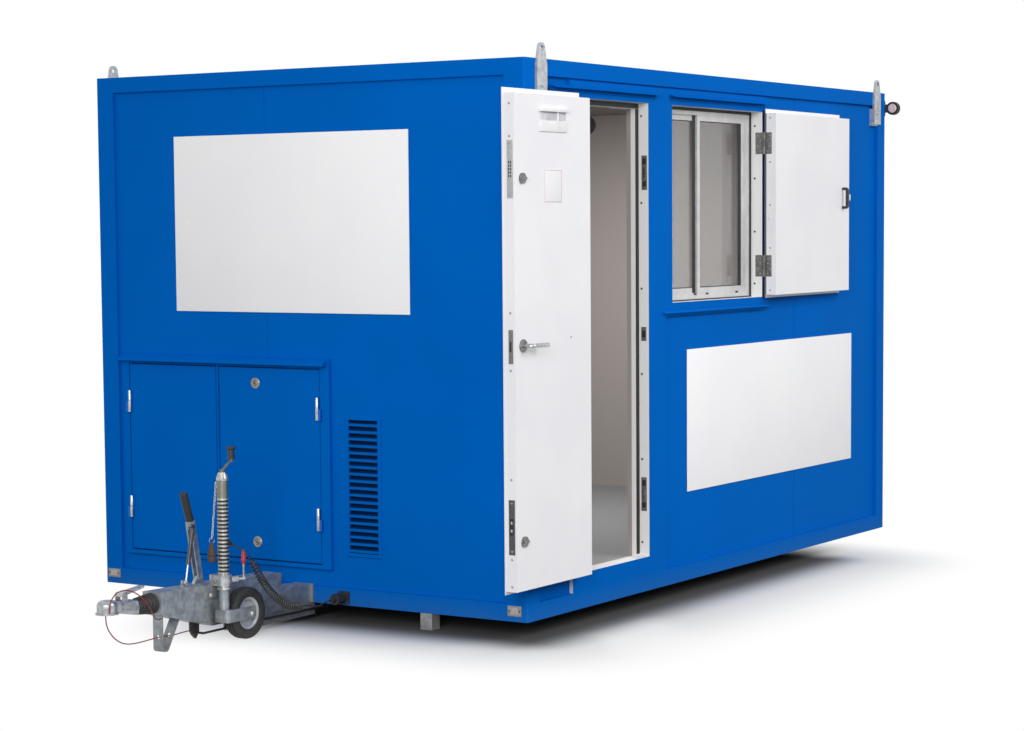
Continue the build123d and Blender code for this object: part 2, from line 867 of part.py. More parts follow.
def hatch_rails():
    """Sill and head of the hatch, the head with a sloping canopy."""
    y0 = hatch_inner_start
    y1 = hatch_inner_end
    sill = block(0, inner_face, y0, y1, hatch_bottom, hatch_inner_bottom)
    head = block(0, inner_face, y0, y1, hatch_inner_top, hatch_top)
    canopy = side_profile([
        (0, hatch_top),
        (0, hatch_top - canopy_height),
        (-canopy_projection, hatch_top - canopy_height),
        (-canopy_projection, hatch_top - canopy_height * 0.6),
    ], hatch_start + 10, hatch_end)
    return group([sill, head + canopy])


def pin_spans(level):
    """Heights of the fixed lower half and the moving upper half of a pin hinge."""
    gap = hinge_knuckle_gap / 2
    reach = hatch_pin_height / 2
    return (level - reach, level - gap), (level + gap, level + reach)


# The hatch leaves turn on pins just in front of their hinge edges. Each is made about its own
# axis and reaches along +Y.
right_axis_y = hatch_inner_start + hatch_pin_inset
left_axis_y = hatch_inner_end - hatch_pin_inset


def hatch_leaf(opening):
    """A leaf about its pin axis, for a distance from the axis to the mullion."""
    inner = hatch_pin_standoff + hatch_leaf_thickness
    end = swing_reach(opening - leaf_gap, inner)
    start = leaf_gap - hatch_pin_inset
    leaf = block(hatch_pin_standoff, inner, start, end, hatch_inner_bottom + hatch_gap,
                 hatch_inner_top - leaf_gap)
    leaf = chamfer(leaf.faces().sort_by(Axis.X)[0].edges(), 2)
    for level in hatch_pin_levels:
        lower, upper = pin_spans(level)
        leaf -= upright(0, 0, lower[0] - hinge_relief, lower[1] + hinge_knuckle_gap,
                        hatch_pin_radius + hinge_relief)
        leaf += upright(0, 0, *upper, hatch_pin_radius)
        leaf += block(hatch_pin_standoff - hatch_pin_plate, hatch_pin_standoff + 2, 0,
                      hatch_pin_plate_width, *upper)
    return leaf


def place_right(shape):
    return Pos(-hatch_pin_standoff, right_axis_y, 0) * shape


def place_left(shape):
    hung = shape.mirror(Plane(origin=(0, 0, 0), z_dir=(0, 1, 0)))
    return Pos(-hatch_pin_standoff, left_axis_y, 0) * hung


def hatch_pin(level):
    """Lower hinge half: its knuckle, a web and a plate on the post."""
    lower, upper = pin_spans(level)
    pin = upright(0, 0, *lower, hatch_pin_radius)
    post_edge = -hatch_pin_inset - 2
    pin += block(-hatch_pin_plate, hatch_pin_plate, 0, post_edge, *lower)
    plate_end = post_edge - hatch_pin_plate_width * 0.6
    return pin + block(-hatch_pin_plate, hatch_pin_standoff, post_edge, plate_end, *lower)


def hatch_pins():
    """Lower halves of the four pin hinges, welded to the side posts."""
    pins = []
    for level in hatch_pin_levels:
        pins.append(place_right(hatch_pin(level)))
        pins.append(place_left(hatch_pin(level)))
    return pins


def hatch_door_right():
    return place_right(hatch_leaf(mullion_start - right_axis_y))


def hatch_door_left():
    return place_left(hatch_leaf(left_axis_y - mullion_end))


def louvre_panel():
    """Flanged box of sloping blades, screwed over a hole in the wall."""
    face = panel_recess
    front = face - louvre_flange
    flange = block(front, face, louvre_start, louvre_end, louvre_bottom, louvre_top)
    flange = chamfer(flange.faces().sort_by(Axis.X)[0].edges(), 3)
    y0 = louvre_start + louvre_margin
    y1 = louvre_end - louvre_margin
    z0 = louvre_bottom + louvre_margin
    z1 = louvre_top - louvre_margin
    wall = louvre_wall
    panel = flange + block(face, face + louvre_depth, y0 - wall, y1 + wall, z0 - wall, z1 + wall)
    panel -= block(front, face + louvre_depth, y0, y1, z0, z1)
    pitch = (z1 - z0) / louvre_count
    rise = pitch * 0.66
    for index in range(louvre_count):
        z = z0 + pitch * (index + 0.12)
        x1 = face + louvre_depth * 0.6
        points = [
            (front, z),
            (x1, z + rise),
            (x1, z + rise + louvre_blade),
            (front, z + louvre_blade * 2),
        ]
        panel += side_profile(points, y0, y1)
    return panel


# ---- Lifting lugs, lamps and feet ----------------------------------------------------------------
def lifting_lug():
    """Pointed plate with an eye, welded to the roof rail and bolted through a spacer."""
    x = lug_inset
    shank_height = lug_shoulder_level - lug_bottom
    shank = Pos(x, lug_bottom + shank_height / 2) * Rectangle(lug_width, shank_height)
    shoulder = Pos(x, lug_shoulder_level) * Rectangle(lug_width, 1)
    tip = Pos(x, lug_hole_level) * Circle(lug_tip_radius)
    head = make_hull(shoulder.edges() + tip.edges())
    eye = Pos(x, lug_hole_level) * Circle(lug_hole_radius)
    outline = shank + head - eye
    plate = extrude(Plane.XZ * outline, amount=lug_thickness, dir=(0, -1, 0))
    spacer = block(post_width, x + lug_width / 2, 0, panel_recess, lug_spacer_bottom,
                   lug_spacer_bottom + lug_spacer_height)
    bolt_plane = Plane(origin=(x, -lug_thickness, lug_bolt_level), z_dir=(0, -1, 0))
    bolt = extrude(bolt_plane * RegularPolygon(lug_bolt_radius, 6), amount=lug_bolt_height)
    return plate + spacer + bolt


lamp_x = body_length + lamp_behind


def marker_arms():
    """Rubber arms on the rear face that hold the outline lamps out past the sides."""
    x0 = body_length
    x1 = x0 + lamp_base_thickness
    z0 = lamp_level - lamp_base_height / 2
    base = block(x0, x1, 4, 4 + lamp_base_width, z0, z0 + lamp_base_height)
    base = fillet(base.edges().filter_by(Axis.X), 8)
    lamp_plane = Plane(origin=(lamp_x - lamp_thickness / 2, -lamp_offset, lamp_level), z_dir=(1, 0, 0))
    ring = extrude(lamp_plane * Circle(lamp_radius), amount=lamp_thickness)
    corners = [(x1 - 4, 8), (x1 - 4, 40), (lamp_x + 6, 0), (lamp_x + 6, -12), (x1, -12)]
    arm_face = make_face(Polyline(*corners, close=True))
    arm = Pos(0, 0, lamp_level - 22) * extrude(arm_face, amount=44, dir=(0, 0, 1))
    through = extrude(lamp_plane * Circle(lens_radius), amount=lamp_thickness)
    body = base + ring + arm - through
    return group([body, mirror_across(body)])


def marker_lenses():
    """Clear lens to the front and red lens to the rear, in one moulding for each lamp."""
    barrel = along(-lamp_offset, lamp_level, lamp_x - lamp_thickness / 2 - lens_height / 2,
                   lamp_x + lamp_thickness / 2 + lens_height / 2, lens_radius)
    lens = fillet(barrel.edges().filter_by(GeomType.CIRCLE), lens_height * 0.45)
    return group([lens, mirror_across(lens)])


def feet():
    """Short square tubes with a base plate, under the end rails, that carry the lowered body."""
    half = foot_width / 2
    hollow = half - foot_wall
    x = foot_offset
    y = foot_side_offset
    tube = block(x - half, x + half, y - half, y + half, 0, ground_gap)
    tube -= block(x - hollow, x + hollow, y - hollow, y + hollow, foot_wall, ground_gap)
    return four_corners(tube)


# ---- Drawbar -----------------------------------------------------------------------------------
def beam_top(x):
    """Height of the beam's sloping upper face."""
    return beam_front_top + (beam_rear_top - beam_front_top) * (x - beam_front) / (beam_rear - beam_front)


def beam_underside(x):
    """Height of the beam's lower face, which slopes up towards the coupling."""
    if x >= beam_deep_start:
        return beam_deep_bottom
    slope = (beam_deep_bottom - beam_front_bottom) / (beam_deep_start - beam_front)
    return beam_front_bottom + slope * (x - beam_front)


def beam_outline(inset):
    """Side view of the beam, drawn in by the thickness of its walls."""
    front = beam_front + inset
    return [
        (front, beam_top(front) - inset),
        (beam_rear, beam_rear_top - inset),
        (beam_rear, beam_deep_bottom + inset),
        (beam_deep_start, beam_deep_bottom + inset),
        (front, beam_underside(front) + inset),
    ]


def drawbar_beam():
    """Tapered box beam, open at the end towards the body."""
    half = beam_width / 2
    shell = side_profile(beam_outline(0), centre_y - half, centre_y + half)
    inner = half - beam_wall
    return shell - side_profile(beam_outline(beam_wall), centre_y - inner, centre_y + inner)


def drawbar_arm():
    """Arm from the beam to the front rail, carried on under the chassis."""
    half = arm_width / 2
    points = [
        (arm_heel, arm_bottom),
        (arm_heel, beam_deep_bottom),
        (beam_rear, beam_deep_bottom),
        (beam_rear, arm_saddle - 17),
        (arm_knee_x, arm_saddle),
        (-flange_thickness, arm_saddle - 7),
        (-flange_thickness, ground_gap),
        (arm_end, ground_gap),
        (arm_end, arm_bottom),
    ]
    arm = side_profile(points, centre_y - half, centre_y + half)
    inner = half - arm_wall
    arm -= block(arm_heel, arm_end, centre_y - inner, centre_y + inner, arm_bottom + arm_wall,
                 beam_deep_bottom - arm_wall)
    flange = block(-flange_thickness, 0, centre_y - flange_width / 2, centre_y + flange_width / 2,
                   ground_gap, ground_gap + flange_height)
    return arm + flange


def overrun_bellows():
    """Pleated rubber sleeve between the beam and the coupling."""
    start = beam_front - bellows_length
    step = bellows_length / bellows_folds
    taper = (bellows_rear_radius - bellows_front_radius) / bellows_length
    bore = shank_radius + running_clearance
    points = [(start, bore)]
    for index in range(bellows_folds):
        x = start + step * index
        radius = bellows_front_radius + taper * (x - start)
        points.append((x, radius - bellows_fold_depth))
        points.append((x + step * 0.5, radius + taper * step * 0.5))
    points.append((beam_front, bellows_rear_radius - bellows_fold_depth))
    points.append((beam_front, bore))
    sleeve = revolve(make_face(Plane.XZ * Polyline(*points, close=True)), Axis.X)
    return Pos(0, centre_y, drawbar_axis_level) * sleeve


def coupling_head():
    """Cast ball coupling: a dome with a lip over the ball, and a shank through the bellows."""
    foot = Pos(ball_x, centre_y, coupling_bottom)
    dome = foot * extrude(Circle(coupling_dome_radius), amount=coupling_dome_height)
    dome = fillet(dome.edges().group_by(Axis.Z)[-1], coupling_dome_height * 0.4)
    lip = foot * extrude(Circle(coupling_lip_radius), amount=coupling_lip_height)
    neck_end = beam_front - bellows_length - neck_clearance
    front = Plane(origin=(ball_x + 12, centre_y, coupling_bottom + 27), x_dir=(0, 1, 0), z_dir=(1, 0, 0))
    rear = Plane(origin=(neck_end, centre_y, drawbar_axis_level), x_dir=(0, 1, 0), z_dir=(1, 0, 0))
    front_section = front * RectangleRounded(*neck_front, neck_corner)
    neck = loft([front_section, rear * RectangleRounded(*neck_rear, neck_corner)])
    head = lip + dome + neck + along(centre_y, drawbar_axis_level, neck_end, beam_front, shank_radius)
    inside = latch_width / 2 + latch_clearance
    for side in (-1, 1):
        y0 = centre_y + side * inside
        y1 = y0 + side * latch_ear_thickness
        ear = block(latch_x - 14, latch_x + 14, y0, y1, drawbar_axis_level, latch_level + 12)
        head += fillet(ear.edges().filter_by(Axis.Y).group_by(Axis.Z)[-1], 11)
    span = inside + latch_ear_thickness + 2
    head += across(latch_x, latch_level, centre_y - span, centre_y + span, latch_pin_radius)
    head -= foot * Pos(0, 0, ball_socket_depth / 2) * Cylinder(ball_radius, ball_socket_depth)
    return head - foot * Pos(0, 0, ball_socket_depth) * Sphere(ball_radius)


def coupling_latch():
    """Hand lever on top of the coupling that frees the ball when it is raised."""
    half = latch_width / 2
    end = latch_x + latch_length
    points = [
        (latch_x - 11, latch_level - 5),
        (latch_x - 11, latch_level + 8),
        (latch_x + 10, latch_level + 12),
        (end, latch_level + 24),
        (end, latch_level + 24 - latch_thickness),
        (latch_x + 18, latch_level - 1),
        (latch_x + 8, latch_level - 7),
    ]
    lever = side_profile(points, centre_y - half, centre_y + half)
    lever = fillet(lever.edges().filter_by(Axis.Z).group_by(Axis.X)[-1], 8)
    return lever - across(latch_x, latch_level, centre_y - half, centre_y + half,
                          latch_pin_radius + running_clearance)


def skid_foot():
    """Bent strap under the front of the beam that the lowered drawbar stands on."""
    half = skid_thickness / 2
    path = FilletPolyline(
        (skid_front, 0, beam_underside(skid_front) + 20),
        (skid_front, 0, half),
        (skid_front + skid_foot_length, 0, half),
        (skid_back, 0, beam_underside(skid_back) + 20),
        radius=skid_bend,
    )
    section = Plane(origin=path @ 0, z_dir=path % 0, x_dir=(0, 1, 0)) * Rectangle(skid_width, skid_thickness)
    strap = Pos(0, centre_y, 0) * sweep(section, path=path)
    strap -= side_profile(beam_outline(0), centre_y - skid_width, centre_y + skid_width)
    return strap - along(centre_y, skid_hole_level, skid_front - skid_thickness, skid_back, skid_hole_radius)


# ---- Handbrake ---------------------------------------------------------------------------------
def place_brake(shape):
    """From an upright lever on its pivot at the origin to its place at rest."""
    return Pos(brake_pivot_x, brake_y, brake_pivot_level) * Rot(0, -brake_lean, 0) * shape


def brake_point(reach, forward, angle=0.0):
    """X and Z of a point on the lever, for the lever turned back by an angle."""
    lean = radians(brake_lean - angle)
    x = brake_pivot_x - reach * sin(lean) - forward * cos(lean)
    z = brake_pivot_level + reach * cos(lean) - forward * sin(lean)
    return x, z


def strut_pose(angle=0.0):
    """Lean towards +X and length of the strut, for the lever turned back by an angle."""
    x, z = brake_point(strut_pin_reach, strut_pin_forward, angle)
    dx = x - strut_foot_x
    dz = z - strut_foot_level
    return degrees(atan2(dx, dz)), hypot(dx, dz)


strut_lean, strut_length = strut_pose()


def brake_bracket():
    """Upstands on the beam for the lever's pivot and the strut's lower pin."""
    half = brake_bar_gap / 2 - 1
    x0 = brake_pivot_x - 34
    x1 = brake_pivot_x + 30
    plate = side_profile([
        (x0, beam_top(x0)),
        (brake_pivot_x - 10, brake_pivot_level + 12),
        (brake_pivot_x + 10, brake_pivot_level + 12),
        (x1, beam_top(x1)),
    ], brake_y - half, brake_y + half)
    reach = brake_bar_gap / 2 + brake_bar_thickness + 3
    plate += across(brake_pivot_x, brake_pivot_level, brake_y - reach, brake_y + reach, brake_pin_radius)
    lug_y = strut_y + strut_tube_radius
    x0 = strut_foot_x - 12
    x1 = strut_foot_x + 12
    lug = side_profile([
        (x0, beam_top(x0)),
        (x0, strut_foot_level + 10),
        (x1, strut_foot_level + 10),
        (x1, beam_top(x1)),
    ], lug_y, lug_y + 8)
    pin_end = strut_y - strut_eye_width / 2 - 2
    return group([plate, lug + across(strut_foot_x, strut_foot_level, pin_end, lug_y, strut_pin_radius)])


def handbrake_lever():
    """Two flat bars joined at the top, with an ear and a pin for the strut."""
    half = brake_bar_width / 2
    bars = []
    for side in (-1, 1):
        inner = side * brake_bar_gap / 2
        bar = block(-half, half, inner, inner + side * brake_bar_thickness, -half, brake_length)
        bars.append(fillet(bar.edges().filter_by(Axis.Y).group_by(Axis.Z)[0], half * 0.9))
    outer = brake_bar_gap / 2 + brake_bar_thickness
    head = block(-half, half, -outer, outer, brake_length - 22, brake_length)
    ear = block(-strut_pin_forward - 9, 0, -outer, -outer + brake_bar_thickness, strut_pin_reach - 12,
                strut_pin_reach + 12)
    lever = bars[0] + bars[1] + head + ear
    pin_start = strut_y + strut_eye_width / 2 + strut_pin_gap - brake_y
    lever += across(-strut_pin_forward, strut_pin_reach, pin_start, -outer, strut_pin_radius)
    lever -= across(0, 0, -outer, outer, brake_pin_radius + running_clearance)
    return place_brake(lever)


def handbrake_grip():
    """Moulded grip over the top of the lever, turned further forward."""
    grip = Pos(0, 0, brake_grip_length / 2) * Cylinder(brake_grip_radius, brake_grip_length)
    grip = fillet(grip.edges().filter_by(GeomType.CIRCLE), 6)
    grip = Pos(0, 0, brake_length) * Rot(0, -brake_grip_lean, 0) * grip
    top = block(-40, 40, -40, 40, brake_length - 40, brake_length)
    return place_brake(grip - top)


def place_strut(shape):
    """From an upright strut on its lower pin to its place at rest."""
    return Pos(strut_foot_x, strut_y, strut_foot_level) * Rot(0, strut_lean, 0) * shape


def strut_eye(level):
    half = strut_eye_width / 2
    return across(0, level, -half, half, strut_eye_radius)


def strut_rod():
    """Bright rod of the gas strut, on the beam's pin."""
    half = strut_eye_width / 2
    piece = strut_eye(0) + upright(0, 0, 0, strut_rod_length, strut_rod_radius)
    return place_strut(piece - across(0, 0, -half, half, strut_pin_radius + running_clearance))


def strut_tube():
    """Black tube of the gas strut, beside the lever."""
    bottom = strut_length - strut_tube_length
    top = strut_length - strut_tube_end
    tube = upright(0, 0, bottom, top, strut_tube_radius)
    tube -= upright(0, 0, bottom, top - strut_bore_end, strut_rod_radius + strut_rod_gap)
    neck = upright(0, 0, top, strut_length, strut_rod_radius)
    return place_strut(tube + neck + strut_eye(strut_length))


# ---- Jockey wheel ------------------------------------------------------------------------------
screw_level = clamp_bottom + clamp_height / 2


def clamp_point(reach):
    """A point on the axis of the clamp screw, by its distance from the mast's axis."""
    turn = radians(clamp_screw_turn)
    return mast_x + reach * cos(turn), mast_y + reach * sin(turn), screw_level


def jockey_clamp():
    """Clamp ring welded to the side of the beam, with its screw and the bar that turns it."""
    z0 = clamp_bottom
    z1 = clamp_bottom + clamp_height
    beam_face = centre_y - beam_width / 2
    x0 = mast_x - clamp_radius
    x1 = mast_x + clamp_radius
    clamp = upright(mast_x, mast_y, z0, z1, clamp_radius)
    clamp += block(x0, x1, beam_face - clamp_plate_thickness, beam_face, clamp_plate_bottom, z1)
    clamp += block(x0 + 1, x1 - 1, mast_y, beam_face, z0, z1)
    clamp += rod(clamp_point(0), clamp_point(clamp_boss_reach), clamp_boss_radius)
    clamp += rod(clamp_point(0), clamp_point(clamp_screw_reach), clamp_screw_radius)
    x, y, z = clamp_point(clamp_screw_reach - clamp_handle_inset)
    clamp += upright(x, y, z, z + clamp_handle_height, clamp_handle_radius)
    return clamp - upright(mast_x, mast_y, z0, z1, mast_radius)


def clamp_grip():
    """Red tapered grip on the bar of the clamp screw."""
    radius = clamp_grip_radius
    length = clamp_grip_length
    grip = turned([
        (0, 0),
        (radius * 0.7, 0),
        (radius, length * 0.3),
        (radius * 0.8, length * 0.7),
        (radius * 0.35, length),
        (0, length),
    ])
    x, y, z = clamp_point(clamp_screw_reach - clamp_handle_inset)
    return Pos(x, y, z + clamp_handle_height) * grip


cap_top = mast_top + cap_height


def jockey_mast():
    """Outer tube with rolled grooves, a collar at its foot and a cap over the gears."""
    collar_top = mast_bottom + mast_collar_height
    groove = mast_radius - mast_groove_depth
    points = [
        (mast_bore, mast_bottom),
        (mast_collar_radius, mast_bottom),
        (mast_collar_radius, collar_top),
        (mast_radius, collar_top),
    ]
    for index in range(mast_rib_count):
        z = mast_rib_start + mast_rib_pitch * index
        points.append((mast_radius, z))
        points.append((groove, z + mast_rib_pitch * 0.2))
        points.append((groove, z + mast_rib_pitch * 0.35))
        points.append((mast_radius, z + mast_rib_pitch * 0.55))
    shoulder = mast_top - mast_bore_end
    points += [
        (mast_radius, shoulder),
        (mast_cap_radius, shoulder),
        (mast_cap_radius, mast_top),
        (mast_radius * 0.7, cap_top),
        (0, cap_top),
        (0, shoulder),
        (mast_bore, shoulder),
    ]
    return Pos(mast_x, mast_y, 0) * turned(points)


crank_base = cap_top + running_clearance


def jockey_crank():
    """Cranked bar on top of the mast."""
    end_x = mast_x + crank_throw
    end_z = crank_base + crank_rise
    crank = upright(mast_x, mast_y, crank_base, crank_base + 12, crank_bar * 0.9)
    crank += rod((mast_x, mast_y, crank_base + crank_bar / 2), (end_x, mast_y, end_z), crank_bar / 2)
    return crank + upright(end_x, mast_y, end_z - crank_bar / 2, end_z + crank_bar / 2, crank_bar * 0.7)


def crank_knob():
    """Spool-shaped knob on the crank."""
    height = knob_height
    knob = turned([
        (0, 0),
        (knob_radius * 0.8, 0),
        (knob_radius * 0.8, 6),
        (knob_stem_radius, 10),
        (knob_stem_radius, height - 14),
        (knob_radius, height - 9),
        (knob_radius, height - 3),
        (knob_radius * 0.6, height),
        (0, height),
    ])
    return Pos(mast_x + crank_throw, mast_y, crank_base + crank_rise + crank_bar / 2) * knob


def jockey_leg():
    """Inner tube that the crank's screw raises and lowers."""
    tube = upright(mast_x, mast_y, leg_bottom, leg_top, leg_radius)
    return tube - upright(mast_x, mast_y, leg_bottom + 20, leg_top, leg_bore_radius)


fork_half = wheel_width / 2 + fork_gap + fork_thickness
fork_top = leg_bottom - running_clearance


def jockey_fork():
    """Bent strap that swivels under the leg and holds the axle."""
    front = mast_x - fork_nose
    rear = wheel_x + fork_tail
    z0 = wheel_radius - fork_drop
    z1 = fork_top - fork_neck_height
    outer = block(front, rear, mast_y - fork_half, mast_y + fork_half, z0, z1)
    outer = fillet(outer.edges().filter_by(Axis.Z).group_by(Axis.X)[0], fork_bend)
    inner_half = fork_half - fork_thickness
    inner = block(front + fork_thickness, rear, mast_y - inner_half, mast_y + inner_half, z0, z1)
    inner = fillet(inner.edges().filter_by(Axis.Z).group_by(Axis.X)[0], fork_bend - fork_thickness)
    roof = block(front, mast_x + fork_plug, mast_y - fork_half, mast_y + fork_half, z1 - fork_thickness, z1)
    plug = upright(mast_x, mast_y, z0, z1, fork_plug)
    plug += upright(mast_x, mast_y, z1, fork_top, fork_neck)
    axle_reach = fork_half + axle_nut
    axle = across(wheel_x, wheel_radius, mast_y - axle_reach, mast_y + axle_reach, axle_radius)
    return outer - inner + (outer & roof) + plug + axle


def jockey_rim():
    """Pressed steel wheel with a hub that runs on the axle."""
    half = rim_width / 2
    hub_half = wheel_width / 2 + fork_gap - 1
    bore = axle_radius + running_clearance
    seat = rim_radius - rim_step
    disc = turned([
        (bore, -hub_half),
        (hub_radius, -hub_half),
        (hub_radius, -disc_thickness),
        (seat - 6, -disc_thickness / 2),
        (seat - 6, -half + 6),
        (rim_radius - 3, -half),
        (rim_radius, -half),
        (seat, -half + 8),
        (seat, half - 8),
        (rim_radius, half),
        (rim_radius - 3, half),
        (seat - 6, half - 6),
        (seat - 6, disc_thickness / 2),
        (hub_radius, disc_thickness),
        (hub_radius, hub_half),
        (bore, hub_half),
    ])
    return Pos(wheel_x, mast_y, wheel_radius) * Rot(90, 0, 0) * disc


def jockey_tyre():
    """Pneumatic tyre seated on the rim."""
    half = rim_width / 2
    side = wheel_width / 2
    seat = rim_radius - rim_step
    tyre = turned([
        (seat, -half + 8),
        (rim_radius, -half),
        (rim_radius + 14, -side),
        (wheel_radius - 12, -side),
        (wheel_radius, -side * 0.62),
        (wheel_radius, side * 0.62),
        (wheel_radius - 12, side),
        (rim_radius + 14, side),
        (rim_radius, half),
        (seat, half - 8),
    ])
    return Pos(wheel_x, mast_y, wheel_radius) * Rot(90, 0, 0) * tyre


# ---- Brake linkage -----------------------------------------------------------------------------
def brake_linkage():
    """Dark bracket under the beam, with the rod that runs back along the arm."""
    x0 = linkage_front
    x1 = linkage_front + linkage_width
    half = linkage_thickness / 2
    plate = side_profile([
        (x0, beam_underside(x0)),
        (x1, beam_underside(x1)),
        (x1, brake_rod_level),
        (x1 - linkage_width * 0.4, linkage_bottom),
        (x0 + linkage_width * 0.2, linkage_bottom + 18),
        (x0, brake_rod_level + 8),
    ], centre_y - half, centre_y + half)
    rod_y = centre_y - arm_width / 2 - brake_rod_offset
    rod_x = x1 - linkage_width * 0.4
    plate += across(rod_x, brake_rod_level, rod_y, centre_y, brake_rod_radius)
    plate += along(rod_y, brake_rod_level, rod_x - brake_rod_radius, brake_rod_end, brake_rod_radius)
    for x in rod_guides:
        plate += block(x, x + rod_guide_length, rod_y - brake_rod_radius - 1, centre_y - arm_width / 2,
                       brake_rod_level - brake_rod_radius - 2, brake_rod_level + brake_rod_radius + 2)
    return plate


# ---- Cords -------------------------------------------------------------------------------------
def cord_tube(name, points, radius):
    """A round cord of straight runs and tangent bends, with its length and bends printed."""
    radii = []
    for before, corner, after in zip(points, points[1:], points[2:]):
        turn = (corner - before).get_angle(after - corner)
        shorter = min((corner - before).length, (after - corner).length)
        radii.append(bend_share * shorter / tan(radians(turn / 2)))
    path = FilletPolyline(*points, radius=radii)
    section = Plane(origin=path @ 0, z_dir=path % 0) * Circle(radius)
    tube = sweep(section, path=path)
    ratio = tube.volume / (section.area * path.length)
    print(name, "length", round(path.length), "volume ratio", round(ratio, 4), "tightest", round(min(radii)))
    return tube


def beside_middle(points):
    """Points given by their place along the body, beside its middle plane and above the ground."""
    return [Vector(x, centre_y + y, z) for x, y, z in points]


# The curly lead leaves a gland on the mast, hangs past the wheel and ends in a plug on the rail.
lead_points = beside_middle([
    (-676, -137, 421), (-682, -164, 416), (-679, -191, 405), (-668.3, -214.5, 387.85), (-654, -220, 362),
])
coil_points = beside_middle([
    (-654, -220, 362), (-628, -230, 315), (-602, -240, 262), (-556, -245, 212), (-503, -250, 168),
    (-446, -251, 138), (-390, -249, 124), (-335, -245, 120),
])
tail_points = beside_middle([
    (-335, -245, 120), (-293.75, -242, 117), (-246, -240, 107), (-196, -234, 99), (-147, -220, 110),
    (-98, -220, 110),
])
# The breakaway cables run from the coupling to the skid foot, one over it, and one under it and
# on through the foot's eyes to the brake linkage.
upper_cable_points = beside_middle([
    (-1315, -36, 206), (-1315, -36, 234), (-1308, -39, 262), (-1284, -39, 283), (-1248, -38, 292),
    (-1206, -37, 289), (-1166, -39, 274), (-1130, -42, 250), (-1100, -44, 219), (-1072, -43, 187),
    (-1048, -33, 158), (-1018, -20, 140), (-988, -20, 140),
])
lower_cable_points = beside_middle([
    (-1323, -22, 200), (-1323, -22, 170), (-1319, -33, 138), (-1298, -42, 107), (-1260, -42, 84),
    (-1212, -30, 70), (-1160, -14, 62), (-1104, -3, 58), (-1046, 1, 59), (-986, -1, 62),
    (-936, 0, 60), (-886, 1, 56), (-836, 0, 60), (-785, 0, 60),
])


def curly_lead():
    """The coiled stretch of the lead, as the round tube that its turns fill."""
    return cord_tube("curly_lead", coil_points, coil_radius)


def lead_top():
    return cord_tube("lead_top", lead_points, lead_radius)


def lead_tail():
    return cord_tube("lead_tail", tail_points, lead_radius)


def upper_cable():
    return cord_tube("breakaway_cable_upper", upper_cable_points, red_cable_radius)


def lower_cable():
    return cord_tube("breakaway_cable_lower", lower_cable_points, red_cable_radius)


def lead_fittings():
    """Gland on the mast, and the plug in its socket on the front rail."""
    exit_point = lead_points[0]
    way = (exit_point - lead_points[1]).normalized()
    base = exit_point + way * gland_length
    gland = rod(exit_point, base, gland_radius)
    gland -= upright(mast_x, mast_y, 0, body_top, mast_radius)
    end_x, y, z = tail_points[-1]
    neck_end = end_x + plug_neck_length
    plug = along(y, z, end_x, neck_end, plug_neck_radius)
    plug += along(y, z, neck_end, -plug_socket_thickness, plug_radius)
    half = plug_socket_width / 2
    socket = block(-plug_socket_thickness, 0, y - half, y + half, z - half, z + half)
    plug += fillet(socket.edges().filter_by(Axis.X), 6)
    return group([gland, plug])


# ---- Write every node ----------------------------------------------------------------------------
nodes = {
    "corner_posts": corner_posts(),
    "frame_rails": frame_rails(),
    "cross_members": cross_members(),
    "floor": floor(),
    "roof_panel": roof_panel(),
    "door_side_wall": door_side_wall(),
    "wall_bands": wall_bands(),
    "far_side_wall": far_side_wall(),
    "rear_wall": rear_wall(),
    "front_wall_top": front_wall_top(),
    "front_wall_piers": front_wall_piers(),
    "frame_jambs": frame_jambs(),
    "frame_heads_and_sills": frame_heads_and_sills(),
    "fixed_hinges": fixed_hinges(),
    "entrance_door": entrance_door(),
    "door_furniture": door_furniture(),
    "door_lever": door_lever(),
    "window_frame": window_frame(),
    "window_sashes": window_sashes(),
    "window_glass": window_glass(),
    "window_shutter": window_shutter(),
    "shutter_pull": shutter_pull(),
    "drip_channels": drip_channels(),
    "hatch_posts": hatch_posts(),
    "hatch_rails": hatch_rails(),
    "hatch_door_right": hatch_door_right(),
    "hatch_door_left": hatch_door_left(),
    "louvre_panel": louvre_panel(),
    "lifting_lugs": four_corners(lifting_lug()),
    "marker_lamp_arms": marker_arms(),
    "marker_lamp_lenses": marker_lenses(),
    "feet": feet(),
    "drawbar_beam": drawbar_beam(),
    "drawbar_arm": drawbar_arm(),
    "overrun_bellows": overrun_bellows(),
    "coupling_head": coupling_head(),
    "coupling_latch": coupling_latch(),
    "skid_foot": skid_foot(),
    "brake_linkage": brake_linkage(),
    "brake_bracket": brake_bracket(),
    "handbrake_lever": handbrake_lever(),
    "handbrake_grip": handbrake_grip(),
    "strut_rod": strut_rod(),
    "strut_tube": strut_tube(),
    "jockey_clamp": jockey_clamp(),
    "clamp_grip": clamp_grip(),
    "jockey_mast": jockey_mast(),
    "jockey_crank": jockey_crank(),
    "crank_knob": crank_knob(),
    "jockey_leg": jockey_leg(),
    "jockey_fork": jockey_fork(),
    "jockey_rim": jockey_rim(),
    "jockey_tyre": jockey_tyre(),
}
cords = {
    "curly_lead": curly_lead(),
    "lead_top": lead_top(),
    "lead_tail": lead_tail(),
    "lead_fittings": lead_fittings(),
    "breakaway_cable_upper": upper_cable(),
    "breakaway_cable_lower": lower_cable(),
}

bounds = group(nodes.values()).bounding_box()
origin = Vector((bounds.min.X + bounds.max.X) / 2, (bounds.min.Y + bounds.max.Y) / 2, bounds.min.Z)
print("origin", origin, "size", bounds.size)

os.makedirs("parts", exist_ok=True)
for name, shape in {**nodes, **cords}.items():
    export_step(Pos(-origin) * shape, "parts/" + name + ".step")
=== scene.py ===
import math

import bmesh
import bpy
from mathutils import Matrix, Quaternion, Vector


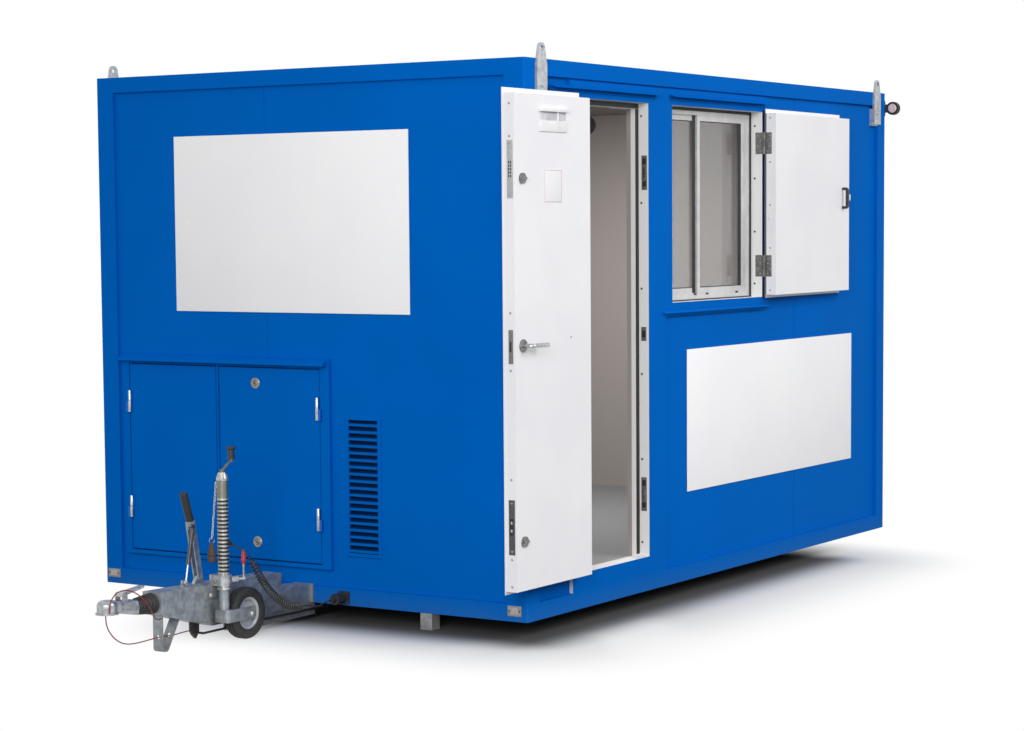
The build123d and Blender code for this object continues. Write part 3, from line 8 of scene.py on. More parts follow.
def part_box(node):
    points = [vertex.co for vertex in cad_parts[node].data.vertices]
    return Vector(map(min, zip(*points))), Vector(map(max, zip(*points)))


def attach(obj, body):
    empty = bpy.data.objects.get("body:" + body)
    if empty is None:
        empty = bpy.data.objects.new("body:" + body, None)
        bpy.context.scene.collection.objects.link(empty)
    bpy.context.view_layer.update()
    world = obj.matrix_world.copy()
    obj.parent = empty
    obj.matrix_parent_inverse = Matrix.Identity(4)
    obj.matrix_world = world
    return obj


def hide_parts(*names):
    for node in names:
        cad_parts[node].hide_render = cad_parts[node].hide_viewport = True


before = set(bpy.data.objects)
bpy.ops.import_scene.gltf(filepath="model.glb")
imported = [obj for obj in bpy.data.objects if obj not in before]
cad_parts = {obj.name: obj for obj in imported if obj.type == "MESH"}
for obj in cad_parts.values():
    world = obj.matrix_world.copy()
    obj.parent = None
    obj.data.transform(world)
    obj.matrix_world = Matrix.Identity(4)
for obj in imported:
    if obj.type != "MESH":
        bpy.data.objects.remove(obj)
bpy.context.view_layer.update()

# ---- Camera -------------------------------------------------------------------------------------
# Standing eye height, ahead of the drawbar and out from the door side. Every place below is given
# in metres from the body's lower front corner on the door side, with heights above the ground. The
# angles are in radians, and the lens and its sensor in millimetres.
corner, body_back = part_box("corner_posts")
body_length = body_back.x - corner.x
body_width = body_back.y - corner.y


def at(x, y, z):
    """A place from the body's front corner on the door side, with its height above the ground."""
    return Vector((corner.x + x, corner.y + y, z))
def in_scene(name, data):
    """A new object in the scene, at the origin."""
    made = bpy.data.objects.new(name, data)
    bpy.context.scene.collection.objects.link(made)
    return made


eye = at(-8.4065, -5.2947, 1.7412)
heading, tilt, roll = 0.56802, -0.080272, -0.0075037
sensor_width, focal_length, lens_rise, far_limit = 36, 84.328945, 0.05, 200
flat_share = math.cos(tilt)
look = Vector((flat_share * math.cos(heading), flat_share * math.sin(heading), math.sin(tilt)))
right = look.cross(Vector((0, 0, 1))).normalized()
up = right.cross(look)
turned_right = right * math.cos(roll) + up * math.sin(roll)
turned_up = up * math.cos(roll) - right * math.sin(roll)
camera = in_scene("camera", bpy.data.cameras.new("camera"))
camera.matrix_world = Matrix((
    (turned_right.x, turned_up.x, -look.x, eye.x),
    (turned_right.y, turned_up.y, -look.y, eye.y),
    (turned_right.z, turned_up.z, -look.z, eye.z),
    (0, 0, 0, 1),
))
camera.data.sensor_width = sensor_width
camera.data.lens = focal_length
camera.data.shift_y = lens_rise
camera.data.clip_end = far_limit
bpy.context.scene.camera = camera
bpy.context.scene.view_settings.view_transform = "Standard"


# ---- Curly lead ---------------------------------------------------------------------------------
# Lighting lead in black polyurethane, wound to a spring so that it takes up turns of the
# drawbar. It leaves a gland on the mast and ends straight, in the plug on the front rail.
def linear(hex_colour):
    """An sRGB hex colour as the linear colour that a shader takes."""
    parts = [int(hex_colour[i:i + 2], 16) / 255 for i in (0, 2, 4)]
    return [v / 12.92 if v <= 0.04045 else ((v + 0.055) / 1.055) ** 2.4 for v in parts] + [1.0]


def add(tree, kind, sockets=(), **settings):
    """Adds one node with its settings, its values and the links into it."""
    made = tree.nodes.new(kind)
    for name, value in settings.items():
        setattr(made, name, value)
    for name, value in dict(sockets).items():
        if isinstance(value, bpy.types.NodeSocket):
            tree.links.new(value, made.inputs[name])
        else:
            made.inputs[name].default_value = value
    return made

# The places of a Mix node's two colours going in, and of its colour coming out.
mix_one, mix_other, mix_out = 6, 7, 2


def new_finish(name):
    """A new material with its emptied tree, and the object's own coordinates to lay patterns by."""
    made = bpy.data.materials.new(name)
    made.use_nodes = True
    made.node_tree.nodes.clear()
    return made, made.node_tree, add(made.node_tree, "ShaderNodeTexCoord").outputs["Object"]


def surface(name, colour, second, rough, metal=0.0, patch=0.25, grain=0.002, relief=0.0001,
            rough_spread=0.08, splash=None, **shader):
    """A finish of two close colours in patches, with a fine relief and uneven gloss.

    patch and grain are real sizes in metres, relief is the height of the grain, and splash is the
    colour and height of road dirt that fades out upwards.
    """
    made, tree, place = new_finish(name)
    cloud = add(tree, "ShaderNodeTexNoise", {"Vector": place, "Scale": 1 / patch, "Detail": 5.0,
                                             "Roughness": 0.6}).outputs["Fac"]
    spread = add(tree, "ShaderNodeMapRange", {"Value": cloud, "From Min": 0.38, "From Max": 0.62})
    tint = add(tree, "ShaderNodeMix", {"Factor": spread.outputs["Result"], mix_one: linear(colour),
                                       mix_other: linear(second)}, data_type="RGBA")
    shade = tint.outputs[mix_out]
    if splash:
        dirt, top = splash
        height = add(tree, "ShaderNodeSeparateXYZ", {"Vector": place}).outputs["Z"]
        fade = add(tree, "ShaderNodeMapRange", {"Value": height, "From Min": top, "From Max": 0.0})
        spots = add(tree, "ShaderNodeTexNoise", {"Vector": place, "Scale": 60.0, "Detail": 6.0})
        amount = add(tree, "ShaderNodeMath", {0: fade.outputs["Result"], 1: spots.outputs["Fac"]},
                     operation="MULTIPLY").outputs[0]
        dirty = add(tree, "ShaderNodeMix", {"Factor": amount, mix_one: shade,
                                            mix_other: linear(dirt)}, data_type="RGBA")
        shade = dirty.outputs[mix_out]
    gloss = add(tree, "ShaderNodeMapRange", {"Value": cloud, "From Min": 0.3, "From Max": 0.7,
                                             "To Min": max(0.02, rough - rough_spread),
                                             "To Max": rough + rough_spread})
    fine = add(tree, "ShaderNodeTexNoise", {"Vector": place, "Scale": 1 / grain, "Detail": 3.0})
    bump = add(tree, "ShaderNodeBump", {"Height": fine.outputs["Fac"], "Distance": relief,
                                        "Strength": 0.6})
    body = add(tree, "ShaderNodeBsdfPrincipled", {
        "Base Color": shade, "Roughness": gloss.outputs["Result"], "Normal": bump.outputs["Normal"],
        "Metallic": metal, **shader})
    add(tree, "ShaderNodeOutputMaterial", {"Surface": body.outputs["BSDF"]})
    return made


def spline(name, points, radius):
    """A round cord on one smooth curve, with these points as its control points."""
    curve = bpy.data.curves.new(name, "CURVE")
    curve.dimensions = "3D"
    line = curve.splines.new("NURBS")
    line.points.add(len(points) - 1)
    for knot, point in zip(line.points, points):
        knot.co = (*point, 1.0)
    line.order_u = 3
    line.use_endpoint_u = True
    line.resolution_u = 6
    curve.bevel_depth = radius
    curve.bevel_resolution = 3
    return in_scene(name, curve)


def mesh_now(thing):
    """An object as it is now, with its curve or its modifiers worked out, as a plain mesh."""
    bpy.context.view_layer.update()
    depsgraph = bpy.context.evaluated_depsgraph_get()
    return bpy.data.meshes.new_from_object(thing.evaluated_get(depsgraph))


def line_points(name, points, pieces=24):
    """Points read from a route's own smooth curve, without any thickness."""
    probe = spline(name, points, 0)
    probe.data.splines[0].resolution_u = pieces
    mesh = mesh_now(probe)
    found = [v.co.copy() for v in mesh.vertices]
    bpy.data.meshes.remove(mesh)
    curve = probe.data
    bpy.data.objects.remove(probe)
    bpy.data.curves.remove(curve)
    return found


def stations(points, step):
    """Evenly spaced places along a line, each with its way on and its distance from the start."""
    lengths = [0.0]
    for a, b in zip(points, points[1:]):
        lengths.append(lengths[-1] + (b - a).length)
    count = max(2, round(lengths[-1] / step))
    found, k = [], 0
    for i in range(count + 1):
        s = lengths[-1] * i / count
        while k < len(points) - 2 and lengths[k + 1] < s:
            k += 1
        span = lengths[k + 1] - lengths[k]
        t = 0 if span == 0 else (s - lengths[k]) / span
        way = (points[k + 1] - points[k]).normalized()
        found.append((points[k].lerp(points[k + 1], t), way, s))
    return found


def show(piece, body, finish_slot, *materials):
    """Gives a finished piece its materials and the body that it moves with. Its finish_slot is not
    used.
    """
    for material in materials:
        piece.data.materials.append(material)
    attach(piece, body)
    return piece


wire_radius = 0.0035
turn_radius, turn_pitch, points_per_turn = 0.0142, 0.0142, 12
run_in, straight_gap = 0.02, 0.022
# The wire's smooth curve runs inside its points, so they stand further out than the wire does.
outer_share, curve_share = 1.03, 0.985
lead_route = [at(*p) for p in (
    (-0.676, 1.033, 0.421), (-0.682, 1.006, 0.416), (-0.679, 0.979, 0.405),
    (-0.6683, 0.9555, 0.38785), (-0.654, 0.950, 0.362),
    (-0.628, 0.940, 0.315), (-0.602, 0.930, 0.262), (-0.556, 0.925, 0.212), (-0.503, 0.920, 0.168),
    (-0.446, 0.919, 0.138), (-0.390, 0.921, 0.124), (-0.335, 0.925, 0.120),
    (-0.29375, 0.928, 0.117), (-0.246, 0.930, 0.107), (-0.196, 0.936, 0.099),
    (-0.147, 0.950, 0.110), (-0.098, 0.950, 0.110),
)]
coil_start, coil_end = lead_route[4], lead_route[11]
middle = line_points("lead_route", lead_route)
places = stations(middle, turn_pitch / points_per_turn)
first = min(places, key=lambda p: (p[0] - coil_start).length)[2]
last = min(places, key=lambda p: (p[0] - coil_end).length)[2]
side = places[0][1].orthogonal().normalized()
way_before = places[0][1]
wound = []
angle, previous_s, kept_s = 0.0, 0.0, -1.0
for place, way, s in places:
    side = (way_before.rotation_difference(way) @ side).normalized()
    way_before = way
    ramp = max(0.0, min(1.0, (s - first) / run_in, (last - s) / run_in))
    ramp = ramp * ramp * (3 - 2 * ramp)
    if ramp > 0:
        angle += (s - previous_s) / turn_pitch * 2 * math.pi
    previous_s = s
    if ramp == 0 and s - kept_s < straight_gap:
        continue
    kept_s = s
    wound.append(place + Quaternion(way, angle) @ side * turn_radius * outer_share * ramp)
wound[-1] = places[-1][0]
# Polyurethane: a soft sheen along each turn, greyed by road dust low down.
cable_rubber = surface("black_polyurethane_sheath", "0f0f11", "1a1a1d", 0.3, patch=0.03,
                       grain=0.0012, relief=0.00015, splash=("6b665e", 0.25))
lead = spline("curly_lead_wire", wound, wire_radius)
lead.data.bevel_resolution = 1
lead.data.splines[0].resolution_u = 2
show(lead, "cabin", "cable_black", cable_rubber)
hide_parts("curly_lead", "lead_top", "lead_tail")

# ---- Breakaway cables ---------------------------------------------------------------------------
# Thin steel wire ropes in red plastic. One lies over the coupling to the skid, and one hangs under
# it, through the eyes of the skid and back to the brake linkage, and pulls the brake on if the
# coupling comes off.
red_radius = 0.0025
# Plastic over steel rope: dark wine red with a narrow sheen.
red_plastic_wire = surface("red_plastic_coated_wire_rope", "741527", "8a2233", 0.35, patch=0.02,
                           grain=0.0015, relief=0.0002, splash=("7a6a66", 0.12))
upper_route = [at(*p) for p in (
    (-1.315, 1.134, 0.206), (-1.315, 1.134, 0.234), (-1.308, 1.131, 0.262), (-1.284, 1.131, 0.283),
    (-1.248, 1.132, 0.292), (-1.206, 1.133, 0.289), (-1.166, 1.131, 0.274), (-1.130, 1.128, 0.250),
    (-1.100, 1.126, 0.219), (-1.072, 1.127, 0.187), (-1.048, 1.137, 0.158), (-1.018, 1.150, 0.140),
    (-0.988, 1.150, 0.140),
)]
lower_route = [at(*p) for p in (
    (-1.323, 1.148, 0.200), (-1.323, 1.148, 0.170), (-1.319, 1.137, 0.138), (-1.298, 1.128, 0.107),
    (-1.260, 1.128, 0.084), (-1.212, 1.140, 0.070), (-1.160, 1.156, 0.062), (-1.104, 1.167, 0.058),
    (-1.046, 1.171, 0.059), (-0.986, 1.169, 0.062), (-0.936, 1.170, 0.060), (-0.886, 1.171, 0.056),
    (-0.836, 1.170, 0.060), (-0.785, 1.170, 0.060),
)]
for name, route, length in (("breakaway_wire_upper", upper_route, 0.442),
                            ("breakaway_wire_lower", lower_route, 0.628)):
    wire = spline(name, route, red_radius)
    show(wire, "cabin", "cable_red", red_plastic_wire)
    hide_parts(name.replace("wire", "cable"))

# ---- Body paint ---------------------------------------------------------------------------------
# Folded steel posts, rails and skins, sprayed with gloss blue enamel in the shop. The film has a
# fine orange peel that softens its highlights, and the lower edges carry a trace of road dust.
blue_enamel = surface("blue_enamel", "0060ba", "0063c0", 0.42, patch=0.9, grain=0.004,
                      relief=0.00005, rough_spread=0.05, splash=("3d6794", 0.16),
                      **{"Specular IOR Level": 0.006})


def dress(material, *names):
    """Puts one finish on CAD pieces that keep their shape."""
    for name in names:
        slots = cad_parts[name].data.materials
        slots.clear()
        slots.append(material)


dress(blue_enamel, "corner_posts", "frame_rails", "drip_channels", "hatch_posts", "hatch_rails",
      "hatch_door_right", "hatch_door_left")

# ---- Walls --------------------------------------------------------------------------------------
# Sandwich panels set in the frame: blue enamelled steel outside, and a warm grey laminate that
# lines the room.
inside_face = 0.0995
grey_lining = "a39c98"

def axes(tree):
    """How far each point of a surface lies along the object's own X, Y and Z."""
    place = next(n for n in tree.nodes if n.type == "TEX_COORD").outputs["Object"]
    return add(tree, "ShaderNodeSeparateXYZ", {"Vector": place}).outputs


def recolour(tree, colour, tests):
    """Changes a finish's colour where each value lies on its side of its limit."""
    inside = None
    for value, operation, limit in tests:
        test = add(tree, "ShaderNodeMath", {0: value, 1: limit}, operation=operation)
        if inside:
            test = add(tree, "ShaderNodeMath", {0: inside, 1: test.outputs[0]},
                       operation="MULTIPLY")
        inside = test.outputs[0]
    shader = next(n for n in tree.nodes if n.type == "BSDF_PRINCIPLED")
    paint = shader.inputs["Base Color"].links[0].from_socket
    mix = add(tree, "ShaderNodeMix", {"Factor": inside, mix_one: paint, mix_other: linear(colour)},
              data_type="RGBA")
    tree.links.new(mix.outputs[mix_out], shader.inputs["Base Color"])


def lined(name, outer, lining, start=(None, None, None), end=(None, None, None)):
    """A finish that changes to a second colour between two corners of a box in the body; the second
    colour is a lining's in most uses, and a painted shade on the louvre and the drawbar arm.
    """
    made = outer.copy()
    made.name = name
    along = axes(made.node_tree)
    tests = [(along[axis], "GREATER_THAN", low) for axis, low in zip("XYZ", start)]
    tests += [(along[axis], "LESS_THAN", high) for axis, high in zip("XYZ", end)]
    recolour(made.node_tree, lining, [test for test in tests if test[2] is not None])
    return made


room_low = at(inside_face, inside_face, 0)
room_high = at(body_length - inside_face, body_width - inside_face, 0)
wall_finish = lined("blue_enamel_outside_grey_laminate_inside", blue_enamel, grey_lining,
                    start=(room_low.x, room_low.y, None), end=(room_high.x, room_high.y, None))
dress(wall_finish, "door_side_wall", "wall_bands", "far_side_wall", "rear_wall", "front_wall_top",
      "front_wall_piers")

# ---- Roof and floor -----------------------------------------------------------------------------
# Ribbed steel roof sheet in the same blue, with a grey lining under it, and a grey vinyl floor on
# galvanised steel cross members.
lining_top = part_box("roof_panel")[0].z + 0.002
roof_finish = lined("blue_enamel_above_grey_lining_below", blue_enamel, "8f8985",
                    end=(None, None, lining_top))
dress(roof_finish, "roof_panel")
# Sheet vinyl: a fine grey speckle with little shine.
vinyl = surface("grey_sheet_vinyl", "7d7f81", "8a8c8e", 0.5, patch=0.004, grain=0.003)
dress(vinyl, "floor")
# Hot-dip zinc: pale grey spangle, half metallic, dusty low down.
galvanised = surface("hot_dip_galvanised_steel", "a2a7aa", "bcc0c2", 0.44, metal=0.55, patch=0.02,
                     rough_spread=0.1, splash=("77706a", 0.12))
dress(galvanised, "cross_members", "feet", "lifting_lugs")

# ---- Sign boards --------------------------------------------------------------------------------
# Blank boards of white aluminium composite with eased edges, one on the front wall and one on the
# side wall. Each is riveted through to two packing strips, so that it stands just off the paint.
def piece_from(name, work, crease=35):
    """Turns finished mesh work into an object, smooth where its faces meet at a shallow angle."""
    bmesh.ops.recalc_face_normals(work, faces=work.faces[:])
    data = bpy.data.meshes.new(name)
    work.to_mesh(data)
    work.free()
    data.shade_smooth()
    data.set_sharp_from_angle(angle=math.radians(crease))
    return in_scene(name, data)


def blocks(name, edge, *corners):
    """Blocks between pairs of corners, as one mesh with all their edges eased."""
    work = bmesh.new()
    for one, other in corners:
        centre, span = (one + other) / 2, other - one
        for point in bmesh.ops.create_cube(work, size=1)["verts"]:
            point.co = Vector([point.co[i] * abs(span[i]) + centre[i] for i in range(3)])
    if edge:
        bmesh.ops.bevel(work, geom=work.edges[:], offset=edge, segments=2, profile=0.6,
                        affect="EDGES")
    return piece_from(name, work)


def between(x0, x1, y0, y1, z0, z1):
    """Two opposite corners of a block on the body."""
    return at(x0, y0, z0), at(x1, y1, z1)


def grow(name, seed_mesh, tree, values):
    """Runs a tree of nodes on a seed mesh and keeps the result as a plain piece."""
    seed = in_scene(name + "_seed", seed_mesh)
    maker = seed.modifiers.new("maker", "NODES")
    maker.node_group = tree
    for item in tree.interface.items_tree:
        if item.item_type == "SOCKET" and item.in_out == "INPUT" and item.name in values:
            maker[item.identifier] = values[item.name]
    data = mesh_now(seed)
    seed.modifiers.remove(maker)
    bpy.data.objects.remove(seed)
    data.name = name
    return in_scene(name, data)


def node_tree(name, sizes):
    """An empty tree for a seed of places, with its sizes and its finish as named inputs."""
    tree = bpy.data.node_groups.new(name, "GeometryNodeTree")
    tree.interface.new_socket("Places", in_out="INPUT", socket_type="NodeSocketGeometry")
    for size in sizes:
        tree.interface.new_socket(size, in_out="INPUT", socket_type="NodeSocketFloat")
    tree.interface.new_socket("Finish", in_out="INPUT", socket_type="NodeSocketMaterial")
    tree.interface.new_socket("Geometry", in_out="OUTPUT", socket_type="NodeSocketGeometry")
    return tree, tree.nodes.new("NodeGroupInput").outputs


def finish_tree(tree, points, shape, rotation, material):
    """Sets the shape on every place, makes it real and gives it its finish."""
    placed = add(tree, "GeometryNodeInstanceOnPoints", {"Points": points, "Instance": shape,
                                                        "Rotation": rotation})
    real = add(tree, "GeometryNodeRealizeInstances", {"Geometry": placed.outputs[0]})
    dressed = add(tree, "GeometryNodeSetMaterial", {"Geometry": real.outputs[0],
                                                    "Material": material})
    add(tree, "NodeGroupOutput", {"Geometry": dressed.outputs[0]})


def head_tree(name, corners, recess_share):
    """A tree of tapered heads with a hexagonal recess, or of plain ones with no recess."""
    tree, given = node_tree(name, ("Head radius", "Head height"))
    radius, depth = given["Head radius"], given["Head height"]
    crown = add(tree, "ShaderNodeMath", {0: radius, 1: 0.62}, operation="MULTIPLY").outputs[0]
    shape = add(tree, "GeometryNodeMeshCone", {"Vertices": corners, "Radius Bottom": radius,
                                               "Radius Top": crown, "Depth": depth},
                fill_type="NGON").outputs["Mesh"]
    if recess_share:
        reach = add(tree, "ShaderNodeMath", {0: radius, 1: recess_share}, operation="MULTIPLY")
        socket = add(tree, "GeometryNodeMeshCylinder", {"Vertices": 6, "Radius": reach.outputs[0],
                                                        "Depth": depth}, fill_type="NGON")
        lift = add(tree, "ShaderNodeCombineXYZ", {"Z": depth})
        raised = add(tree, "GeometryNodeTransform", {"Geometry": socket.outputs["Mesh"],
                                                     "Translation": lift.outputs[0]})
        cut = add(tree, "GeometryNodeMeshBoolean", {"Mesh 1": shape}, operation="DIFFERENCE")
        tree.links.new(raised.outputs[0], cut.inputs["Mesh 2"])
        shape = cut.outputs["Mesh"]
    facing = add(tree, "GeometryNodeInputNamedAttribute", {"Name": "way"}, data_type="FLOAT_VECTOR")
    turn = add(tree, "FunctionNodeAlignRotationToVector", {"Vector": facing.outputs["Attribute"]},
               axis="Z")
    finish_tree(tree, given["Places"], shape, turn.outputs[0], given["Finish"])
    return tree


screw_tree = head_tree("pan_head_screws", 14, 0.5)
rivet_tree = head_tree("blind_rivets", 14, 0)
bolt_tree = head_tree("hexagon_heads", 6, 0)


def fasteners(name, body, finish_slot, material, tree, places, radius, height):
    """Heads of one kind at places that each have the way they face, as one piece on one body."""
    seed = bpy.data.meshes.new(name + "_places")
    seed.from_pydata([place for place, way in places], [], [])
    ways = seed.attributes.new("way", "FLOAT_VECTOR", "POINT")
    for i, (place, way) in enumerate(places):
        ways.data[i].vector = way
    made = grow(name, seed, tree, {"Head radius": radius, "Head height": height,
                                   "Finish": material})
    show(made, body, finish_slot)


forward, outward, upward = Vector((-1, 0, 0)), Vector((0, -1, 0)), Vector((0, 0, 1))
# Coated aluminium composite: flat bright white with a faint sheen.
white_board = surface("white_coated_aluminium_composite", "f2f2f4", "f6f6f7", 0.38, patch=0.7,
                      grain=0.0012, relief=0.00002)
panel_recess = 0.018
board_back, board_front = panel_recess - 0.003, panel_recess - 0.006
strip_width, strip_place, strip_inset, rivet_inset = 0.05, 0.05, 0.02, 0.025
rivets = []
for name, way, (start, end, low, high) in (
    ("sign_board_front", forward, (0.592, 1.890, 1.356, 2.146)),
    ("sign_board_side", outward, (1.428, 3.252, 0.487, 1.152)),
):
    layers = [((board_front, board_back), (start, end), (low, high))]
    for s in (start + strip_place, end - strip_place - strip_width):
        layers.append(((board_back, panel_recess), (s, s + strip_width),
                       (low + strip_inset, high - strip_inset)))
        for z in (low + rivet_inset, (low + high) / 2, high - rivet_inset):
            middle_of_strip = s + strip_width / 2
            rivets.append((at(board_front, middle_of_strip, z) if way is forward
                           else at(middle_of_strip, board_front, z), way))
    corners = [between(*depths, *spans, *levels) if way is forward
               else between(*spans, *depths, *levels) for depths, spans, levels in layers]
    show(blocks(name, 0.001, *corners), "cabin", "white_paint", white_board)
fasteners("sign_board_rivets", "cabin", "white_paint", white_board, rivet_tree, rivets,
          0.005, 0.0015)

# ---- Door and window frames ---------------------------------------------------------------------
# Folded steel frames: blue on their outer faces, like the wall, and light grey in the reveal, where
# the leaves shut against them. Countersunk screws hold them to the steel behind.
reveal_grey = "e9e8e8"
outer_face, reveal_inner, reveal_top = corner.y + 0.0012, corner.y + 0.078, 2.285
frame_finish = lined("blue_enamel_with_grey_reveal", blue_enamel, reveal_grey,
                     start=(None, outer_face, None), end=(None, None, reveal_top))
frame_finish = lined("blue_enamel_with_reveal_and_lining", frame_finish, grey_lining,
                     start=(None, reveal_inner, None))
dress(frame_finish, "frame_jambs", "frame_heads_and_sills")
# Powder coat: an even white without sharp highlights.
white_powder = surface("white_powder_coat", "e9e9ed", "eeeef1", 0.45, patch=0.5, grain=0.0015,
                       relief=0.00004, **{"Specular IOR Level": 0.3})
dress(white_powder, "entrance_door")
knuckle_face, knuckle_end = corner.y - 0.0215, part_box("window_shutter")[0].x + 0.012
dress(lined("white_powder_coat_with_dull_knuckles", white_powder, "62615f",
            start=(None, knuckle_face, None), end=(knuckle_end, None, None)), "window_shutter")
# Black zinc: near-black heads with a weak metallic glint.
dark_screw = surface("black_zinc_screw", "4a4a4c", "5c5c5e", 0.4, metal=0.7, patch=0.004,
                     grain=0.0006, relief=0.00003)
door_jamb, window_jamb = 1.045, 2.180
jamb_screws = [(at(x, y, z), forward) for x, y, levels in (
    (door_jamb, 0.038, (0.293, 0.672, 1.059, 1.445, 1.830, 2.218)),
    (window_jamb, 0.042, (1.440, 1.694, 1.953, 2.208)),
) for z in levels]
fasteners("frame_screws", "cabin", "black_iron", dark_screw, screw_tree, jamb_screws,
          0.0055, 0.0018)

# ---- Door and shutter seals ---------------------------------------------------------------------
# Black rubber seal on the stop, round the two sides and the head of the doorway, and a thin strip
# of the same rubber on the wall's face, behind the hinge edge of the shutter.

# Moulded rubber: near black and matt, dusty low down.
rubber = surface("black_moulded_rubber", "101011", "1b1b1c", 0.62, patch=0.03, grain=0.0015,
                 relief=0.0002, splash=("5d5750", 0.16))
seal_front, stop_face = 0.0500, 0.0560
seal_foot, seal_head, seal_gap, seal_width, free_jamb = 0.240, 2.252, 0.002, 0.021, 0.430
seal_ends = (free_jamb + seal_gap, door_jamb - seal_gap)
show(blocks("door_seal", 0.0015,
            *[between(low, high, seal_front, stop_face, seal_foot, seal_head - seal_gap)
              for low, high in ((seal_ends[1] - seal_width, seal_ends[1]),
                                (seal_ends[0], seal_ends[0] + seal_width))],
            between(*seal_ends, seal_front, stop_face, seal_head, seal_head + seal_width)),
     "cabin", "black_rubber", rubber)
show(blocks("shutter_seal", 0.0006,
            between(window_jamb + 0.0005, window_jamb + 0.013, -0.0022, 0.0005, 1.375, 2.275)),
     "cabin", "black_rubber", rubber)

# ---- Lock strikes -------------------------------------------------------------------------------
# Pressed steel plates let into the jamb, each with a pocket for its bolt drawn in painted shade and
# a light slotted middle where the plate is pierced.

# Satin stainless steel: bright, with soft wide reflections.
satin_steel = surface("satin_stainless_steel", "a8aaab", "c2c4c4", 0.28, metal=1.0, patch=0.02,
                      grain=0.0006, relief=0.00003)
# Zinc plate gone dull: mid grey with weak reflections.
oxide_steel = surface("dull_zinc_plate", "6c6b69", "7d7c79", 0.5, metal=0.6, patch=0.006,
                      grain=0.0008, relief=0.00006)
# Painted shade: flat black without shine, for pockets too shallow to shade themselves.
painted_shade_black = surface("unlit_pocket", "1b1b1c", "262626", 0.8, patch=0.01, grain=0.001)
strike_face = door_jamb - 0.0015
plates, pockets, tongues = [], [], []
for y0, y1, z0, z1, shares in ((0.008, 0.036, 1.888, 2.042, ((0.10, 0.26), (0.74, 0.92))),
                               (0.014, 0.042, 0.436, 0.590, ((0.10, 0.26), (0.74, 0.92))),
                               (0.014, 0.040, 1.209, 1.272, ((0.25, 0.75),))):
    tall = z1 - z0
    plates.append(between(strike_face, door_jamb + 0.002, y0, y1, z0, z1))
    pockets += [between(strike_face - 0.0004, strike_face + 0.001, y0 + 0.005, y1 - 0.005,
                        z0 + low * tall, z0 + high * tall) for low, high in shares]
    if len(shares) > 1:
        tongues.append(between(strike_face - 0.0006, strike_face + 0.001, y0 + 0.007, y1 - 0.007,
                               z0 + 0.32 * tall, z0 + 0.68 * tall))
show(blocks("strike_plates", 0.0006, *plates), "cabin", "bright_zinc", oxide_steel)
# Painted shade: black blocks stand for the dark in the bolt pockets.
show(blocks("strike_pockets", 0, *pockets), "cabin", "black_iron", painted_shade_black)
show(blocks("strike_tongues", 0.0005, *tongues), "cabin", "satin_steel", satin_steel)

# ---- Door edge ----------------------------------------------------------------------------------
# Three lock cases show their faceplates in the free edge of the leaf: a pierced multi-point lock at
# the top, a latch beside the lever and a two-bolt lock near the sill, with screws between them.
edge_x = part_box("entrance_door")[0].x - corner.x
plate_face = edge_x - 0.0008
# Brushed steel: light grey with a soft glint.
brushed_steel = surface("brushed_steel_faceplate", "a4a5a6", "b3b4b4", 0.42, metal=0.6, patch=0.01,
                        grain=0.0006, relief=0.00003)
for name, place, finish_slot, finish in (
    ("upper_lock_faceplate", (-0.072, -0.045, 1.845, 2.078), "satin_steel", brushed_steel),
    ("latch_faceplate", (-0.067, -0.047, 1.173, 1.311), "satin_steel", oxide_steel),
    ("lower_lock_faceplate", (-0.070, -0.042, 0.390, 0.616), "black_iron", dark_screw),
):
    show(blocks(name, 0.0004, between(plate_face, edge_x + 0.003, *place)), "door", finish_slot,
         finish)
openings = [(y, y + 0.005, 1.928 + 0.014 * row, 1.938 + 0.014 * row)
            for row in range(5) for y in (-0.0655, -0.0565)]
openings += [(-0.061, -0.052, 1.222, 1.262), (-0.064, -0.048, 0.470, 0.540)]
# Painted shade: black blocks stand for the dark behind the faceplates' openings.
show(blocks("lock_openings", 0, *[between(plate_face - 0.0003, plate_face + 0.001, *opening)
                                  for opening in openings]), "door", "black_iron", painted_shade_black)
show(blocks("lower_lock_bolts", 0.0008,
            *[between(plate_face - 0.0015, plate_face + 0.001, -0.060, -0.052, z, z + 0.012)
              for z in (0.483, 0.516)]), "door", "bright_zinc", satin_steel)
# Zinc-plated screws: light grey heads with a glint.
grey_screw = surface("zinc_plated_screw", "8f8f90", "a2a2a2", 0.4, metal=0.5, patch=0.004,
                     grain=0.0006, relief=0.00003)
edge_screws = [(at(x, y, z), forward) for x, y, levels in (
    (edge_x, -0.0555, (0.258, 0.370, 0.699, 1.145, 1.380, 2.094, 2.226)),
    (plate_face, -0.0585, (1.858, 2.065)),
    (plate_face, -0.056, (0.404, 0.602)),
) for z in levels]
edge_screws.append((at(0.236, -0.0772, 1.264), outward))
fasteners("door_screws", "door", "satin_steel", grey_screw, screw_tree, edge_screws, 0.0048, 0.0016)

# ---- Inside face of the door --------------------------------------------------------------------
# A white moulded pull with a hooded pocket near the head, and a small blank notice plate with a
# printed red edge, both flat on the leaf, and the lever with its furniture.
door_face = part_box("entrance_door")[0].y - corner.y
hood = [between(-0.006, 0.206, door_face - 0.016, door_face, 2.200, 2.214),
        between(-0.006, 0.206, door_face - 0.006, door_face, 2.118, 2.164),
        between(0.128, 0.133, door_face - 0.010, door_face, 2.136, 2.200)]
# Moulded nylon: clean white with a smooth low shine.
pull_white = surface("white_moulded_nylon", "e3e3e6", "e9e9ec", 0.4, patch=0.06, grain=0.001,
                     relief=0.00003)
show(blocks("moulded_pull", 0.002, *hood), "door", "white_paint", pull_white)
